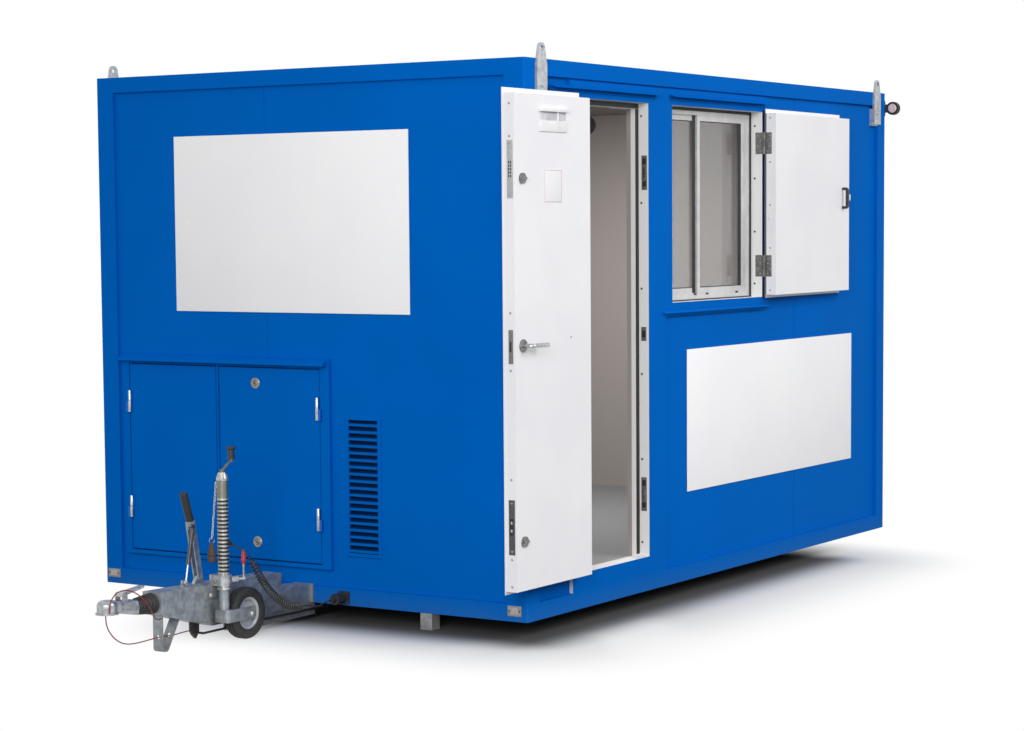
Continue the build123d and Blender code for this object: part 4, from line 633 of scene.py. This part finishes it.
# Painted shade: the pull's pocket is pale grey and matt for the shade under its hood.
pull_pocket_shade_grey = surface("pull_pocket_painted_shade", "b4b4b9", "d2d2d6", 0.6, patch=0.05, grain=0.001,
                      relief=0.00003)
plate_front = door_face - 0.0012
show(blocks("pull_pocket", 0.0005, between(0.000, 0.200, plate_front, door_face, 2.164, 2.200)),
     "door", "white_paint", pull_pocket_shade_grey)
x0, x1, z0, z1 = 0.028, 0.169, 1.827, 1.964
show(blocks("notice_plate", 0.0005, between(x0, x1, plate_front, door_face, z0, z1)),
     "door", "white_paint", white_powder)
line, print_face, edge_gap = 0.0014, door_face - 0.0014, 0.003
x0, x1, z0, z1 = x0 + edge_gap, x1 - edge_gap, z0 + edge_gap, z1 - edge_gap
# Print: flat even red.
printed_red = surface("printed_red_edge", "c03543", "c84450", 0.45, patch=0.02, grain=0.001,
                      relief=0.00002)
show(blocks("notice_plate_edge", 0,
            *[between(*across, print_face, door_face, *levels) for across, levels in (
                ((x0, x1), (z0, z0 + line)), ((x0, x1), (z1 - line, z1)),
                ((x0, x0 + line), (z0, z1)), ((x1 - line, x1), (z0, z1)))]),
     "door", "red_plastic", printed_red)
dress(satin_steel, "door_lever")
# Nickel plate worn dull: dark warm grey metal with soft reflections.
dull_nickel = surface("dull_nickel_plate", "6f6d6b", "8f8d8a", 0.35, metal=0.8, patch=0.01,
                      grain=0.0006, relief=0.00003)
dress(dull_nickel, "door_furniture")

# ---- Hinges -------------------------------------------------------------------------------------
# Steel butts in dull plate, mottled dark from handling, with painted plates on the front wall. Each
# leaf of a shutter hinge is held by four pan-head screws in two staggered columns.
mottled_hinge = surface("dulled_zinc_hinge", "4c4b4a", "8a8987", 0.5, metal=0.5, patch=0.006,
                        grain=0.0015, relief=0.0002, rough_spread=0.15)
dress(lined("dulled_zinc_hinge_with_painted_front_plates", mottled_hinge, "0060ba",
            start=(None, corner.y + 0.5, None)), "fixed_hinges")
hinge_levels, hinge_half = (1.5265, 2.1235), 0.0525
screw_steps = ((-0.038, 0), (-0.013, 1), (0.013, 0), (0.038, 1))


def hinge_screws(x, columns):
    """Places of the screws in one leaf of both shutter hinges."""
    return [(at(x, columns[column], level + step), forward)
            for level in hinge_levels for step, column in screw_steps]


fasteners("window_hinge_screws", "cabin", "bright_zinc", grey_screw, screw_tree,
          hinge_screws(window_jamb, (0.012, 0.026)), 0.0042, 0.0012)

# ---- Room ---------------------------------------------------------------------------------------
# A white batten light under the ceiling, and a round extractor grille in dark grey plastic with
# turned rings, high on the rear wall.
def turned(work, foot, way, profile, sides=32, ring=False):
    """Adds a turned form: (distance along, radius) pairs from its foot, closed or as a ring."""
    turn = upward.rotation_difference(way)
    rings = []
    for distance, radius in profile:
        points = [Vector((radius * math.cos(2 * math.pi * i / sides),
                          radius * math.sin(2 * math.pi * i / sides), distance))
                  for i in range(sides)]
        rings.append([work.verts.new(foot + turn @ point) for point in points])
    pairs = list(zip(rings, rings[1:]))
    if ring:
        pairs.append((rings[-1], rings[0]))
    else:
        work.faces.new(rings[0][::-1])
        work.faces.new(rings[-1])
    for lower, upper in pairs:
        for i in range(sides):
            after = (i + 1) % sides
            work.faces.new((lower[i], lower[after], upper[after], upper[i]))


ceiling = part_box("roof_panel")[0].z
show(blocks("ceiling_batten", 0.003, between(2.600, 2.880, 1.050, 1.110, ceiling - 0.012, ceiling)),
     "cabin", "white_paint", pull_white)
grille_middle = at(body_length - 0.100, 1.800, 2.302)
work = bmesh.new()
for radius in (0.050, 0.038, 0.026, 0.014):
    turned(work, grille_middle, forward, [(0, radius), (0.010, radius - 0.002),
                                          (0.010, radius - 0.006), (0, radius - 0.008)], ring=True)
turned(work, grille_middle, forward, [(0, 0.044), (0.003, 0.042)])
# Moulded plastic: dark grey with a soft low shine.
grey_plastic = surface("dark_grey_moulded_plastic", "4d4b4f", "5a585c", 0.5, patch=0.03,
                       grain=0.001)
show(piece_from("extractor_grille", work), "cabin", "black_plastic", grey_plastic)

# ---- Window -------------------------------------------------------------------------------------
# Natural anodised aluminium frame with two sliding sashes and clear glass, black gaskets round the
# frame and the panes, a black strip of painted shade at the meeting stiles, and black caps over the
# drain slots in the bottom rail.

# Natural anodising: pale satin grey, a little metallic, without sharp reflections.
anodised = surface("natural_anodised_aluminium", "c6c6c6", "d2d2d1", 0.42, metal=0.35, patch=0.05,
                   grain=0.0008, relief=0.00002)
dress(anodised, "window_frame", "window_sashes")
# Float glass: clear, seen by its reflections and by a faint uneven film.
glass, tree, place = new_finish("clear_float_glass")
film = add(tree, "ShaderNodeTexNoise", {"Vector": place, "Scale": 6.0, "Detail": 4.0})
haze = add(tree, "ShaderNodeMapRange", {"Value": film.outputs["Fac"], "To Min": 0.02,
                                        "To Max": 0.07})
pane = add(tree, "ShaderNodeBsdfPrincipled", {
    "Base Color": linear("c4c8c7"), "Roughness": haze.outputs["Result"],
    "Transmission Weight": 1.0, "IOR": 1.5, "Alpha": 0.45})
add(tree, "ShaderNodeOutputMaterial", {"Surface": pane.outputs["BSDF"]})
dress(glass, "window_glass")
frame_face, gasket_face, gasket = 0.065, 0.0605, 0.014
left, sill, head_level = 1.265, 1.375, 2.275
show(blocks("frame_gasket", 0.0015,
            *[between(*across, gasket_face, frame_face, *levels) for across, levels in (
                ((window_jamb - gasket, window_jamb), (sill, head_level)),
                ((left, left + gasket), (sill, head_level)),
                ((left, window_jamb), (head_level - gasket, head_level)),
                ((left, window_jamb), (sill, sill + 0.006)))]),
     "cabin", "black_rubber", rubber)
sash_bottom, sash_top, bead = 1.433, 2.217, 0.004
strips = [between(start, end, face + 0.002, face + 0.005, z, z + bead)
          for start, end, face in ((1.323, 1.634, 0.082), (1.660, 2.122, 0.068))
          for z in (sash_bottom, sash_top - bead)]
# Painted shade: this black strip stands for the shaded side of the sashes' meeting stiles.
strips.append(between(1.607, 1.634, 0.0795, 0.082, 1.409, 2.241))
strips.append(between(2.052, 2.080, 0.0665, 0.0705, sash_bottom, sash_top))
show(blocks("pane_gaskets_and_shade_strip", 0.0008, *strips), "cabin", "black_rubber", rubber)
show(blocks("sash_grip_profile", 0.0015,
            between(2.080, 2.124, 0.0635, 0.070, sash_bottom, sash_top)),
     "cabin", "aluminium", anodised)
# Moulded nylon: near black and half matt, dusty low down.
black_plastic = surface("black_moulded_nylon", "19191b", "252527", 0.48, patch=0.03, grain=0.0015,
                        splash=("5d5750", 0.16))
show(blocks("drain_caps", 0.0015,
            *[between(x - 0.013, x + 0.013, frame_face - 0.0025, frame_face, 1.399, 1.408)
              for x in (1.604, 1.725, 2.031)]),
     "cabin", "black_plastic", black_plastic)

# ---- Shutter fittings ---------------------------------------------------------------------------
# A black bow handle, a white catch on the inner face at the free edge, and in the hinge edge the
# hinges' flaps with their screws, a row of screws and a filler plug.

# Coated iron: brownish black with a soft glint.
black_iron = surface("black_coated_iron", "2b2927", "3b3835", 0.45, metal=0.4, patch=0.01,
                     grain=0.001)
dress(black_iron, "shutter_pull")
hinge_edge = window_jamb + 0.0008
flap_face = hinge_edge - 0.0012
leaf_screws = [(at(hinge_edge, -0.042, z), forward) for z in (1.408, 1.614, 1.823, 2.032, 2.245)]
leaf_screws += hinge_screws(flap_face, (-0.028, -0.041))
fasteners("shutter_screws", "shutter", "satin_steel", grey_screw, screw_tree, leaf_screws,
          0.0045, 0.0012)
show(blocks("shutter_hinge_flaps", 0.0005,
            *[between(flap_face, hinge_edge + 0.001, -0.050, -0.018, level - hinge_half,
                      level + hinge_half) for level in hinge_levels]),
     "shutter", "bright_zinc", mottled_hinge)
work = bmesh.new()
turned(work, at(hinge_edge + 0.0005, -0.042, 1.760), forward,
       [(0, 0.008), (0.002, 0.008), (0.003, 0.006)], 24)
show(piece_from("shutter_plug", work), "shutter", "white_paint", pull_white)
show(blocks("shutter_catch", 0.0015, between(3.040, 3.086, -0.0550, -0.0475, 1.852, 1.868),
            between(3.074, 3.086, -0.0565, -0.0475, 1.848, 1.880)),
     "shutter", "white_paint", pull_white)

# ---- Hatch locks and hinge sleeves --------------------------------------------------------------
# Round zinc-plated budget locks with a square key well in the right leaf, and bright steel sleeves
# on both halves of each lift-off hinge.
well, locks = bmesh.new(), bmesh.new()
for z in (0.325, 1.040):
    turned(locks, at(0.001, 1.430, z), forward,
           [(0, 0.0250), (0.003, 0.0250), (0.0055, 0.022), (0.0055, 0.0145), (0.003, 0.0125),
            (0.007, 0.0090), (0.007, 0.003)], 40)
    turned(well, at(-0.0055, 1.430, z), forward, [(0, 0.0055), (0.0019, 0.0055)], 4)
# Zinc casting worn by hands: warm grey and mottled.
lock_zinc = surface("handled_zinc_casting", "77736d", "a19d97", 0.42, metal=0.6, patch=0.006,
                    grain=0.001, relief=0.0002)
show(piece_from("hatch_locks", locks), "hatch_leaf_right", "bright_zinc", lock_zinc)
# Painted shade: black squares stand for the dark in the key wells.
show(piece_from("hatch_key_wells", well), "hatch_leaf_right", "black_iron", painted_shade_black)
for name, hatch_body, y in (("right", "hatch_leaf_right", 1.080),
                            ("left", "hatch_leaf_left", 2.165)):
    upper, lower = bmesh.new(), bmesh.new()
    for level in (0.445, 0.935):
        turned(upper, at(-0.009, y, level + 0.002), upward,
               [(0, 0.0070), (0, 0.0082), (0.046, 0.0082), (0.049, 0.0068)], 24)
        turned(lower, at(-0.009, y, level - 0.050), upward,
               [(0, 0.0068), (0.003, 0.0082), (0.050, 0.0082), (0.050, 0.0070)], 24)
    show(piece_from("hinge_sleeves_" + name, upper), hatch_body, "satin_steel", satin_steel)
    show(piece_from("hinge_sockets_" + name, lower), "cabin", "satin_steel", satin_steel)

# ---- Hatch seal ---------------------------------------------------------------------------------
# Black rubber strips stuck under the top rail and over the bottom rail of the hatch, behind each
# leaf, so that no light from the room passes the running gaps.
hatch_seal_face, hatch_seal_back = 0.0315, 0.0365
show(blocks("hatch_seal", 0.001,
            *[between(hatch_seal_face, hatch_seal_back, start, end, low, high)
              for start, end in ((1.0705, 1.6430), (1.6570, 2.1745))
              for low, high in ((0.2435, 0.2590), (1.0970, 1.1125))]),
     "cabin", "black_rubber", rubber)

# ---- Louvre -------------------------------------------------------------------------------------
# Pressed steel louvre in the body colour, screwed on at its corners, with painted shade behind the
# front edges of its blades and a black insect screen against its back.

# Coated mesh, drawn as one sheet because its holes are too fine to show: near black and matt.
insect_screen = surface("black_coated_insect_screen", "141516", "1f2021", 0.6, patch=0.03,
                        grain=0.001, relief=0.0003)
show(blocks("insect_screen", 0.0004, between(0.0541, 0.0556, 0.767, 0.933, 0.302, 0.898)),
     "cabin", "black_rubber", insect_screen)
shade_start = corner.x + 0.021
# Painted shade: the blue turns dark navy deeper in than the blades' front edges.
dress(lined("blue_enamel_shaded_behind_blades", blue_enamel, "062a5a",
            start=(shade_start, None, None)), "louvre_panel")
louvre_face = panel_recess - 0.006
fasteners("louvre_screws", "cabin", "blue_paint", blue_enamel, screw_tree,
          [(at(louvre_face, y, z), forward)
           for y in (0.7635, 0.9365) for z in (0.2985, 0.600, 0.9015)],
          0.0045, 0.0015)

# ---- Front reflectors ---------------------------------------------------------------------------
# Clear moulded reflectors on dull grey backs, one at each end of the front rail, and each held by
# two screws.

# Clear moulding over small prisms: pale warm grey with uneven glints.
reflector = surface("clear_moulded_reflector", "9c918b", "bfb8b3", 0.25, patch=0.006, relief=0.0006)
# Moulded backs: matt mid grey.
backs = surface("grey_moulded_back", "8a8684", "9c9896", 0.55, patch=0.02, grain=0.001)
ends = ((2.252, 2.324, 0.103, 0.143), (0.030, 0.098, 0.098, 0.142))
screw_inset, side_margin, edge_margin = 0.008, 0.016, 0.006
show(blocks("reflector_backs", 0.0008, *[between(-0.003, 0.002, *end) for end in ends]),
     "cabin", "aluminium", backs)
show(blocks("front_reflectors", 0.0015,
            *[between(-0.006, -0.0025, y0 + side_margin, y1 - side_margin, z0 + edge_margin,
                      z1 - edge_margin) for y0, y1, z0, z1 in ends]),
     "cabin", "aluminium", reflector)
fasteners("reflector_screws", "cabin", "bright_zinc", dark_screw, screw_tree,
          [(at(-0.003, y, (z0 + z1) / 2), forward)
           for y0, y1, z0, z1 in ends for y in (y0 + screw_inset, y1 - screw_inset)],
          0.0045, 0.0018)

# ---- Marker lamps -------------------------------------------------------------------------------
# End-outline lamps moulded in acrylic, clear in front and red behind, on rubber stalks at the top
# of the rear posts.
dress(rubber, "marker_lamp_arms", "overrun_bellows", "handbrake_grip")
# Ribbed acrylic: pale, with small sharp highlights in front and red behind.
lens = surface("clear_ribbed_acrylic", "d3b4b4", "e6cfcd", 0.2, patch=0.01, grain=0.003,
               relief=0.0004)
lens_front, lens_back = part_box("marker_lamp_lenses")
lens_middle = (lens_front.x + lens_back.x) / 2
dress(lined("clear_acrylic_with_red_back", lens, "a01b1e", start=(lens_middle, None, None)),
      "marker_lamp_lenses")

# ---- Drawbar, coupling and brake ----------------------------------------------------------------
# Galvanised box sections, the arm near black in painted shade from the front wall back, where the
# body shades it, and a zinc-plated cast coupling head on its rubber bellows. Below them are the
# dark cast brake linkage, and beside the lever a gas strut with a bright rod in a black tube.

# Weathered zinc: blotched mid grey with uneven gloss, browned low down.
weathered = surface("weathered_galvanised_steel", "878e93", "a2a9ad", 0.42, metal=0.5, patch=0.03,
                    grain=0.0025, relief=0.0002, rough_spread=0.14, splash=("5d5852", 0.14))
arm_shade_start = corner.x + 0.02
# Painted shade: the arm turns near black behind the front wall, under the body.
dress(lined("galvanised_arm_with_painted_shade", weathered, "19191a",
            start=(arm_shade_start, None, None)), "drawbar_arm")
dress(weathered, "drawbar_beam", "skid_foot", "handbrake_lever", "jockey_leg", "jockey_fork")
# Plated casting: light grey metal with a cast grain.
cast_zinc = surface("zinc_plated_casting", "94979a", "b6b9bb", 0.36, metal=0.75, patch=0.02,
                    relief=0.0004, rough_spread=0.14)
dress(cast_zinc, "coupling_head", "brake_bracket", "jockey_clamp")
# Oiled cast iron: near black with small dull glints.
dark_cast = surface("oiled_cast_iron", "1d1d1e", "302f2d", 0.5, metal=0.5, patch=0.02,
                    relief=0.0003, splash=("4b453e", 0.12))
dress(dark_cast, "brake_linkage")
# Lacquered tube: black with a narrow clean highlight.
black_lacquer = surface("black_lacquered_tube", "2a2a2c", "38383a", 0.3, patch=0.05, relief=0.00005)
dress(black_lacquer, "strut_tube")
# Bright zinc plate: pale and clearly metallic.
bright_zinc = surface("bright_zinc_plate", "b3b5b3", "cccdcc", 0.33, metal=0.75, patch=0.015,
                      grain=0.0012, relief=0.00006)
dress(bright_zinc, "strut_rod", "coupling_latch")
# Moulded plastic: signal red with a low sheen.
red_grip = surface("red_moulded_plastic", "b3261f", "c23229", 0.35, patch=0.03, grain=0.0015)
dress(red_grip, "clamp_grip")
dress(black_plastic, "crank_knob", "lead_fittings")

# ---- Jockey wheel -------------------------------------------------------------------------------
# A mast of zinc-plated tube, rolled into grooves with painted shade in them and darker between them
# and its cap, over a galvanised leg, and a pneumatic tyre with three tread grooves on a pressed
# steel rim in silver paint.

# Olive passivated zinc: dull brown-grey metal.
crank_zinc = surface("olive_passivated_zinc", "5f5b4f", "77736a", 0.45, metal=0.5, patch=0.01,
                     grain=0.001)
dress(crank_zinc, "jockey_crank")
# Plated tube: pale metal, with painted shade in its grooves, and darker between them and the cap.
mast_zinc = surface("rolled_zinc_plated_tube", "979996", "bfc0bd", 0.34, metal=0.7, patch=0.02,
                    grain=0.0015, relief=0.00006)
groove_start, groove_pitch, groove_count, groove_share, cap_level = 0.301, 0.0163, 19, 0.52, 0.685
groove_end = groove_start + groove_pitch * groove_count
tree = mast_zinc.node_tree
height = axes(tree)["Z"]
turns = add(tree, "ShaderNodeMapRange", {"Value": height, "From Min": groove_start,
                                         "From Max": groove_start + groove_pitch}, clamp=False)
phase = add(tree, "ShaderNodeMath", {0: turns.outputs["Result"]}, operation="FRACT").outputs[0]
# Painted shade: a near black band in each groove of the mast.
recolour(tree, "3b3a35", [(phase, "LESS_THAN", groove_share),
                          (height, "GREATER_THAN", groove_start),
                          (height, "LESS_THAN", groove_end)])
# Darker between the grooves and the cap.
recolour(tree, "7b7d74", [(height, "GREATER_THAN", groove_end), (height, "LESS_THAN", cap_level)])
dress(mast_zinc, "jockey_mast")
# Tyre rubber: charcoal and matt, greyed by dust low down.
tyre_rubber = surface("tyre_rubber", "1b1b1c", "2a2a2a", 0.72, patch=0.03, relief=0.0003,
                      splash=("4f4a43", 0.08))
# Silver paint: pale grey with a fine metallic lustre.
rim_paint = surface("silver_wheel_paint", "afb2b5", "c0c3c5", 0.4, metal=0.3, patch=0.05,
                    grain=0.001, relief=0.00004)
dress(rim_paint, "jockey_rim")
tyre_low, tyre_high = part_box("jockey_tyre")
hub = (tyre_low + tyre_high) / 2
reach, half = (tyre_high.z - tyre_low.z) / 2, (tyre_high.y - tyre_low.y) / 2
tread_half, tread_drop = half * 0.62, 0.0012
tread = [(-tread_half, reach - tread_drop)]
for groove in (-half * 0.432, 0.0, half * 0.432):
    tread += [(groove + step, reach - depth) for step, depth in (
        (-0.0028, 0.0003), (-0.0016, 0.0045), (0.0016, 0.0045), (0.0028, 0.0003))]
tread.append((tread_half, reach - tread_drop))
side_wall = [(half * 0.82, reach - 0.004), (half * 0.96, reach - 0.010), (half, reach - 0.016),
             (half * 0.985, reach - 0.026), (half * 0.93, reach - 0.034), (0.022, 0.0685),
             (0.0185, 0.0655), (0.0145, 0.0632)]
loop = [(-along, radius) for along, radius in reversed(side_wall)] + tread + side_wall
work = bmesh.new()
turned(work, hub, Vector((0, 1, 0)), loop, 72, ring=True)
tyre = show(piece_from("grooved_tyre", work, 40), "wheel", "tyre", tyre_rubber)
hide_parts("jockey_tyre")

# ---- Chain and stowed plug ----------------------------------------------------------------------
# A fine zinc-plated chain hangs from an eye bolt at the top of the mast, and carries a ring and a
# dark rubber bung beside the clamp.
chain_tree, given = node_tree("welded_chain", ("Link pitch", "Link length", "Link width",
                                               "Wire radius"))
path = add(chain_tree, "GeometryNodeMeshToCurve", {"Mesh": given["Places"]})
stops = add(chain_tree, "GeometryNodeResampleCurve",
            {"Curve": path.outputs["Curve"], "Length": given["Link pitch"]}, mode="LENGTH")
half_length, half_width = [
    add(chain_tree, "ShaderNodeMath", {0: given[size], 1: 0.5}, operation="MULTIPLY").outputs[0]
    for size in ("Link length", "Link width")]
hoop = add(chain_tree, "GeometryNodeCurvePrimitiveCircle", {"Resolution": 14, "Radius": 1.0})
oval = add(chain_tree, "ShaderNodeCombineXYZ", {"X": half_length, "Y": half_width, "Z": 1.0})
stretched = add(chain_tree, "GeometryNodeTransform", {"Geometry": hoop.outputs["Curve"],
                                                      "Scale": oval.outputs[0]})
wire = add(chain_tree, "GeometryNodeCurvePrimitiveCircle", {"Resolution": 6,
                                                            "Radius": given["Wire radius"]})
link = add(chain_tree, "GeometryNodeCurveToMesh", {"Curve": stretched.outputs[0],
                                                   "Profile Curve": wire.outputs["Curve"]})
tangent = add(chain_tree, "GeometryNodeInputTangent").outputs[0]
along = add(chain_tree, "FunctionNodeAlignRotationToVector", {"Vector": tangent}, axis="X")
number = add(chain_tree, "GeometryNodeInputIndex").outputs[0]
quarter = add(chain_tree, "ShaderNodeMath", {0: number, 1: math.pi / 2}, operation="MULTIPLY")
angles = add(chain_tree, "ShaderNodeCombineXYZ", {"X": quarter.outputs[0]}).outputs[0]
rolled = add(chain_tree, "FunctionNodeEulerToRotation", {"Euler": angles})
twist = add(chain_tree, "FunctionNodeRotateRotation",
            {"Rotation": along.outputs[0], "Rotate By": rolled.outputs[0]}, rotation_space="LOCAL")
finish_tree(chain_tree, stops.outputs["Curve"], link.outputs["Mesh"], twist.outputs[0],
            given["Finish"])
hang = [at(*p) for p in ((-0.685, 1.1015, 0.672), (-0.688, 1.1025, 0.632), (-0.694, 1.1030, 0.585),
                         (-0.700, 1.1035, 0.535), (-0.706, 1.1040, 0.485), (-0.711, 1.1045, 0.446))]
seed = bpy.data.meshes.new("chain_places")
seed.from_pydata(hang, [(i, i + 1) for i in range(len(hang) - 1)], [])
chain = grow("mast_chain", seed, chain_tree, {
    "Link pitch": 0.0088, "Link length": 0.0125, "Link width": 0.0075, "Wire radius": 0.0013,
    "Finish": bright_zinc})
show(chain, "cabin", "bright_zinc")
work = bmesh.new()
turned(work, at(-0.685, 1.0930, 0.672), Vector((0, 1, 0)),
       [(0, 0.006), (0.004, 0.006), (0.004, 0.0025), (0.0085, 0.0025), (0.0095, 0.0015)], 16)
turned(work, at(-0.712, 1.1045, 0.434), Vector((0.5, 0.86, 0)).normalized(),
       [(0.0014, 0.0110), (0, 0.0124), (-0.0014, 0.0110), (0, 0.0096)], 28, ring=True)
show(piece_from("chain_eye_and_ring", work), "cabin", "bright_zinc", satin_steel)
# Aged rubber: dark brown and matt.
brown_rubber = surface("aged_brown_rubber", "332721", "453730", 0.7, patch=0.01, relief=0.0003)
work = bmesh.new()
turned(work, at(-0.714, 1.1050, 0.343), upward,
       [(0, 0.014), (0.004, 0.0175), (0.022, 0.0180), (0.026, 0.0155), (0.030, 0.0180),
        (0.048, 0.0170), (0.060, 0.0120), (0.078, 0.0085), (0.083, 0.0050)], 28)
show(piece_from("stowed_bung", work), "cabin", "black_rubber", brown_rubber)
fasteners("clamp_bolts", "cabin", "bright_zinc", bright_zinc, bolt_tree,
          [(at(x, 1.1060, 0.206), outward) for x in (-0.724, -0.636)], 0.0095, 0.0070)
fasteners("axle_nut", "jockey_yoke", "bright_zinc", bright_zinc, bolt_tree,
          [(at(-0.546, 1.0290, 0.110), outward)], 0.0120, 0.0085)

# ---- Floor and light ----------------------------------------------------------------------------
# A plain pale floor with a painted shadow, darkest against the body, that keeps the shadow ahead of
# the body and on the door side, and fades to white away from them, with a broad soft lamp over the
# door side, one ahead and a small one in the room.
def seen_rays(tree):
    """1 for what is seen, straight, in metal or through glass, and 0 for what lights the object."""
    rays = add(tree, "ShaderNodeLightPath").outputs
    seen = rays["Is Camera Ray"]
    for kind in ("Is Glossy Ray", "Is Transmission Ray"):
        seen = add(tree, "ShaderNodeMath", {0: seen, 1: rays[kind]}, operation="MAXIMUM").outputs[0]
    return seen


floor_mesh = bpy.data.meshes.new("studio_floor")
extent = 60.0
floor_mesh.from_pydata([(-extent, -extent, 0), (extent, -extent, 0), (extent, extent, 0),
                        (-extent, extent, 0)], [], [(0, 1, 2, 3)])
studio_floor = in_scene("studio_floor", floor_mesh)
middle_of_body = at(body_length / 2, body_width / 2, 1.2)
# Studio paper: matt and pale, with a painted shadow that is darkest against the object, and white
# out of its shadow's reach.
paper, tree, place = new_finish("white_studio_paper_with_painted_shadow")
seen = seen_rays(tree)
offset = add(tree, "ShaderNodeVectorMath", {0: place, 1: (middle_of_body.x, middle_of_body.y, 0)},
             operation="SUBTRACT").outputs[0]
half_body = (body_length / 2, body_width / 2, 0)
# Beyond the rear and the far side the paper turns white sooner, over the shadow that falls there.
far_start = (body_length / 2 - 0.85, 0.12, 0)
far_rate = (1.15, 1.25, 0)
painted_shadow_reach, fade_start, fade_end = 0.32, 0.06, 0.9
parts = []
for steps in ((("MULTIPLY", (-1, -1, 0)), ("SUBTRACT", half_body), ("MAXIMUM", (0, 0, 0))),
              (("SUBTRACT", far_start), ("MAXIMUM", (0, 0, 0)), ("MULTIPLY", far_rate))):
    part = offset
    for operation, other in steps:
        part = add(tree, "ShaderNodeVectorMath", {0: part, 1: other},
                   operation=operation).outputs[0]
    parts.append(part)
outside = add(tree, "ShaderNodeVectorMath", {0: parts[0], 1: parts[1]}, operation="ADD").outputs[0]
away = add(tree, "ShaderNodeVectorMath", {0: outside}, operation="LENGTH").outputs["Value"]
# Painted shadow: seen straight, the paper goes from dark grey against the body to pale grey at this
# reach.
close = add(tree, "ShaderNodeMapRange", {"Value": away, "From Max": painted_shadow_reach},
            interpolation_type="SMOOTHSTEP")
near = add(tree, "ShaderNodeMix", {"Factor": close.outputs["Result"], mix_one: linear("585858"),
                                   mix_other: linear("dadada")}, data_type="RGBA")
pale = add(tree, "ShaderNodeMix", {"Factor": seen, mix_one: linear("6e6e6e"),
                                   mix_other: near.outputs[mix_out]}, data_type="RGBA")
fade = add(tree, "ShaderNodeMapRange", {"Value": away, "From Min": fade_start,
                                        "From Max": fade_end}, interpolation_type="SMOOTHSTEP")
share = add(tree, "ShaderNodeMath", {0: fade.outputs["Result"], 1: seen}, operation="MULTIPLY")
matt = add(tree, "ShaderNodeBsdfDiffuse", {"Color": pale.outputs[mix_out]})
glow = add(tree, "ShaderNodeEmission", {"Color": (1, 1, 1, 1), "Strength": 1.0})
paper_mix = add(tree, "ShaderNodeMixShader", {"Fac": share.outputs[0], 1: matt.outputs[0],
                                              2: glow.outputs[0]})
add(tree, "ShaderNodeOutputMaterial", {"Surface": paper_mix.outputs[0]})
floor_mesh.materials.append(paper)

world_light, white = 0.56, 1.0
world = bpy.data.worlds.new("studio")
bpy.context.scene.world = world
world.use_nodes = True
tree = world.node_tree
tree.nodes.clear()
strength = add(tree, "ShaderNodeMapRange", {"Value": seen_rays(tree), "To Min": world_light,
                                            "To Max": white})
sky = add(tree, "ShaderNodeBackground", {"Color": (1, 1, 1, 1),
                                         "Strength": strength.outputs["Result"]})
add(tree, "ShaderNodeOutputWorld", {"Surface": sky.outputs[0]})


def lamp(name, place, aim, size, power):
    """A square soft lamp that faces a point."""
    made = in_scene(name, bpy.data.lights.new(name, "AREA"))
    made.data.size = size
    made.data.energy = power
    made.location = place
    made.rotation_euler = (aim - place).to_track_quat("-Z", "Y").to_euler()


lamp("key", at(2.5, -8.0, 6.0), middle_of_body, 5.0, 445)
lamp("fill", at(-9.0, -4.0, 3.6), middle_of_body, 4.0, 645)
lamp("room", at(2.0, 1.2, 2.25), at(2.3, 1.2, 0.3), 0.6, 41)
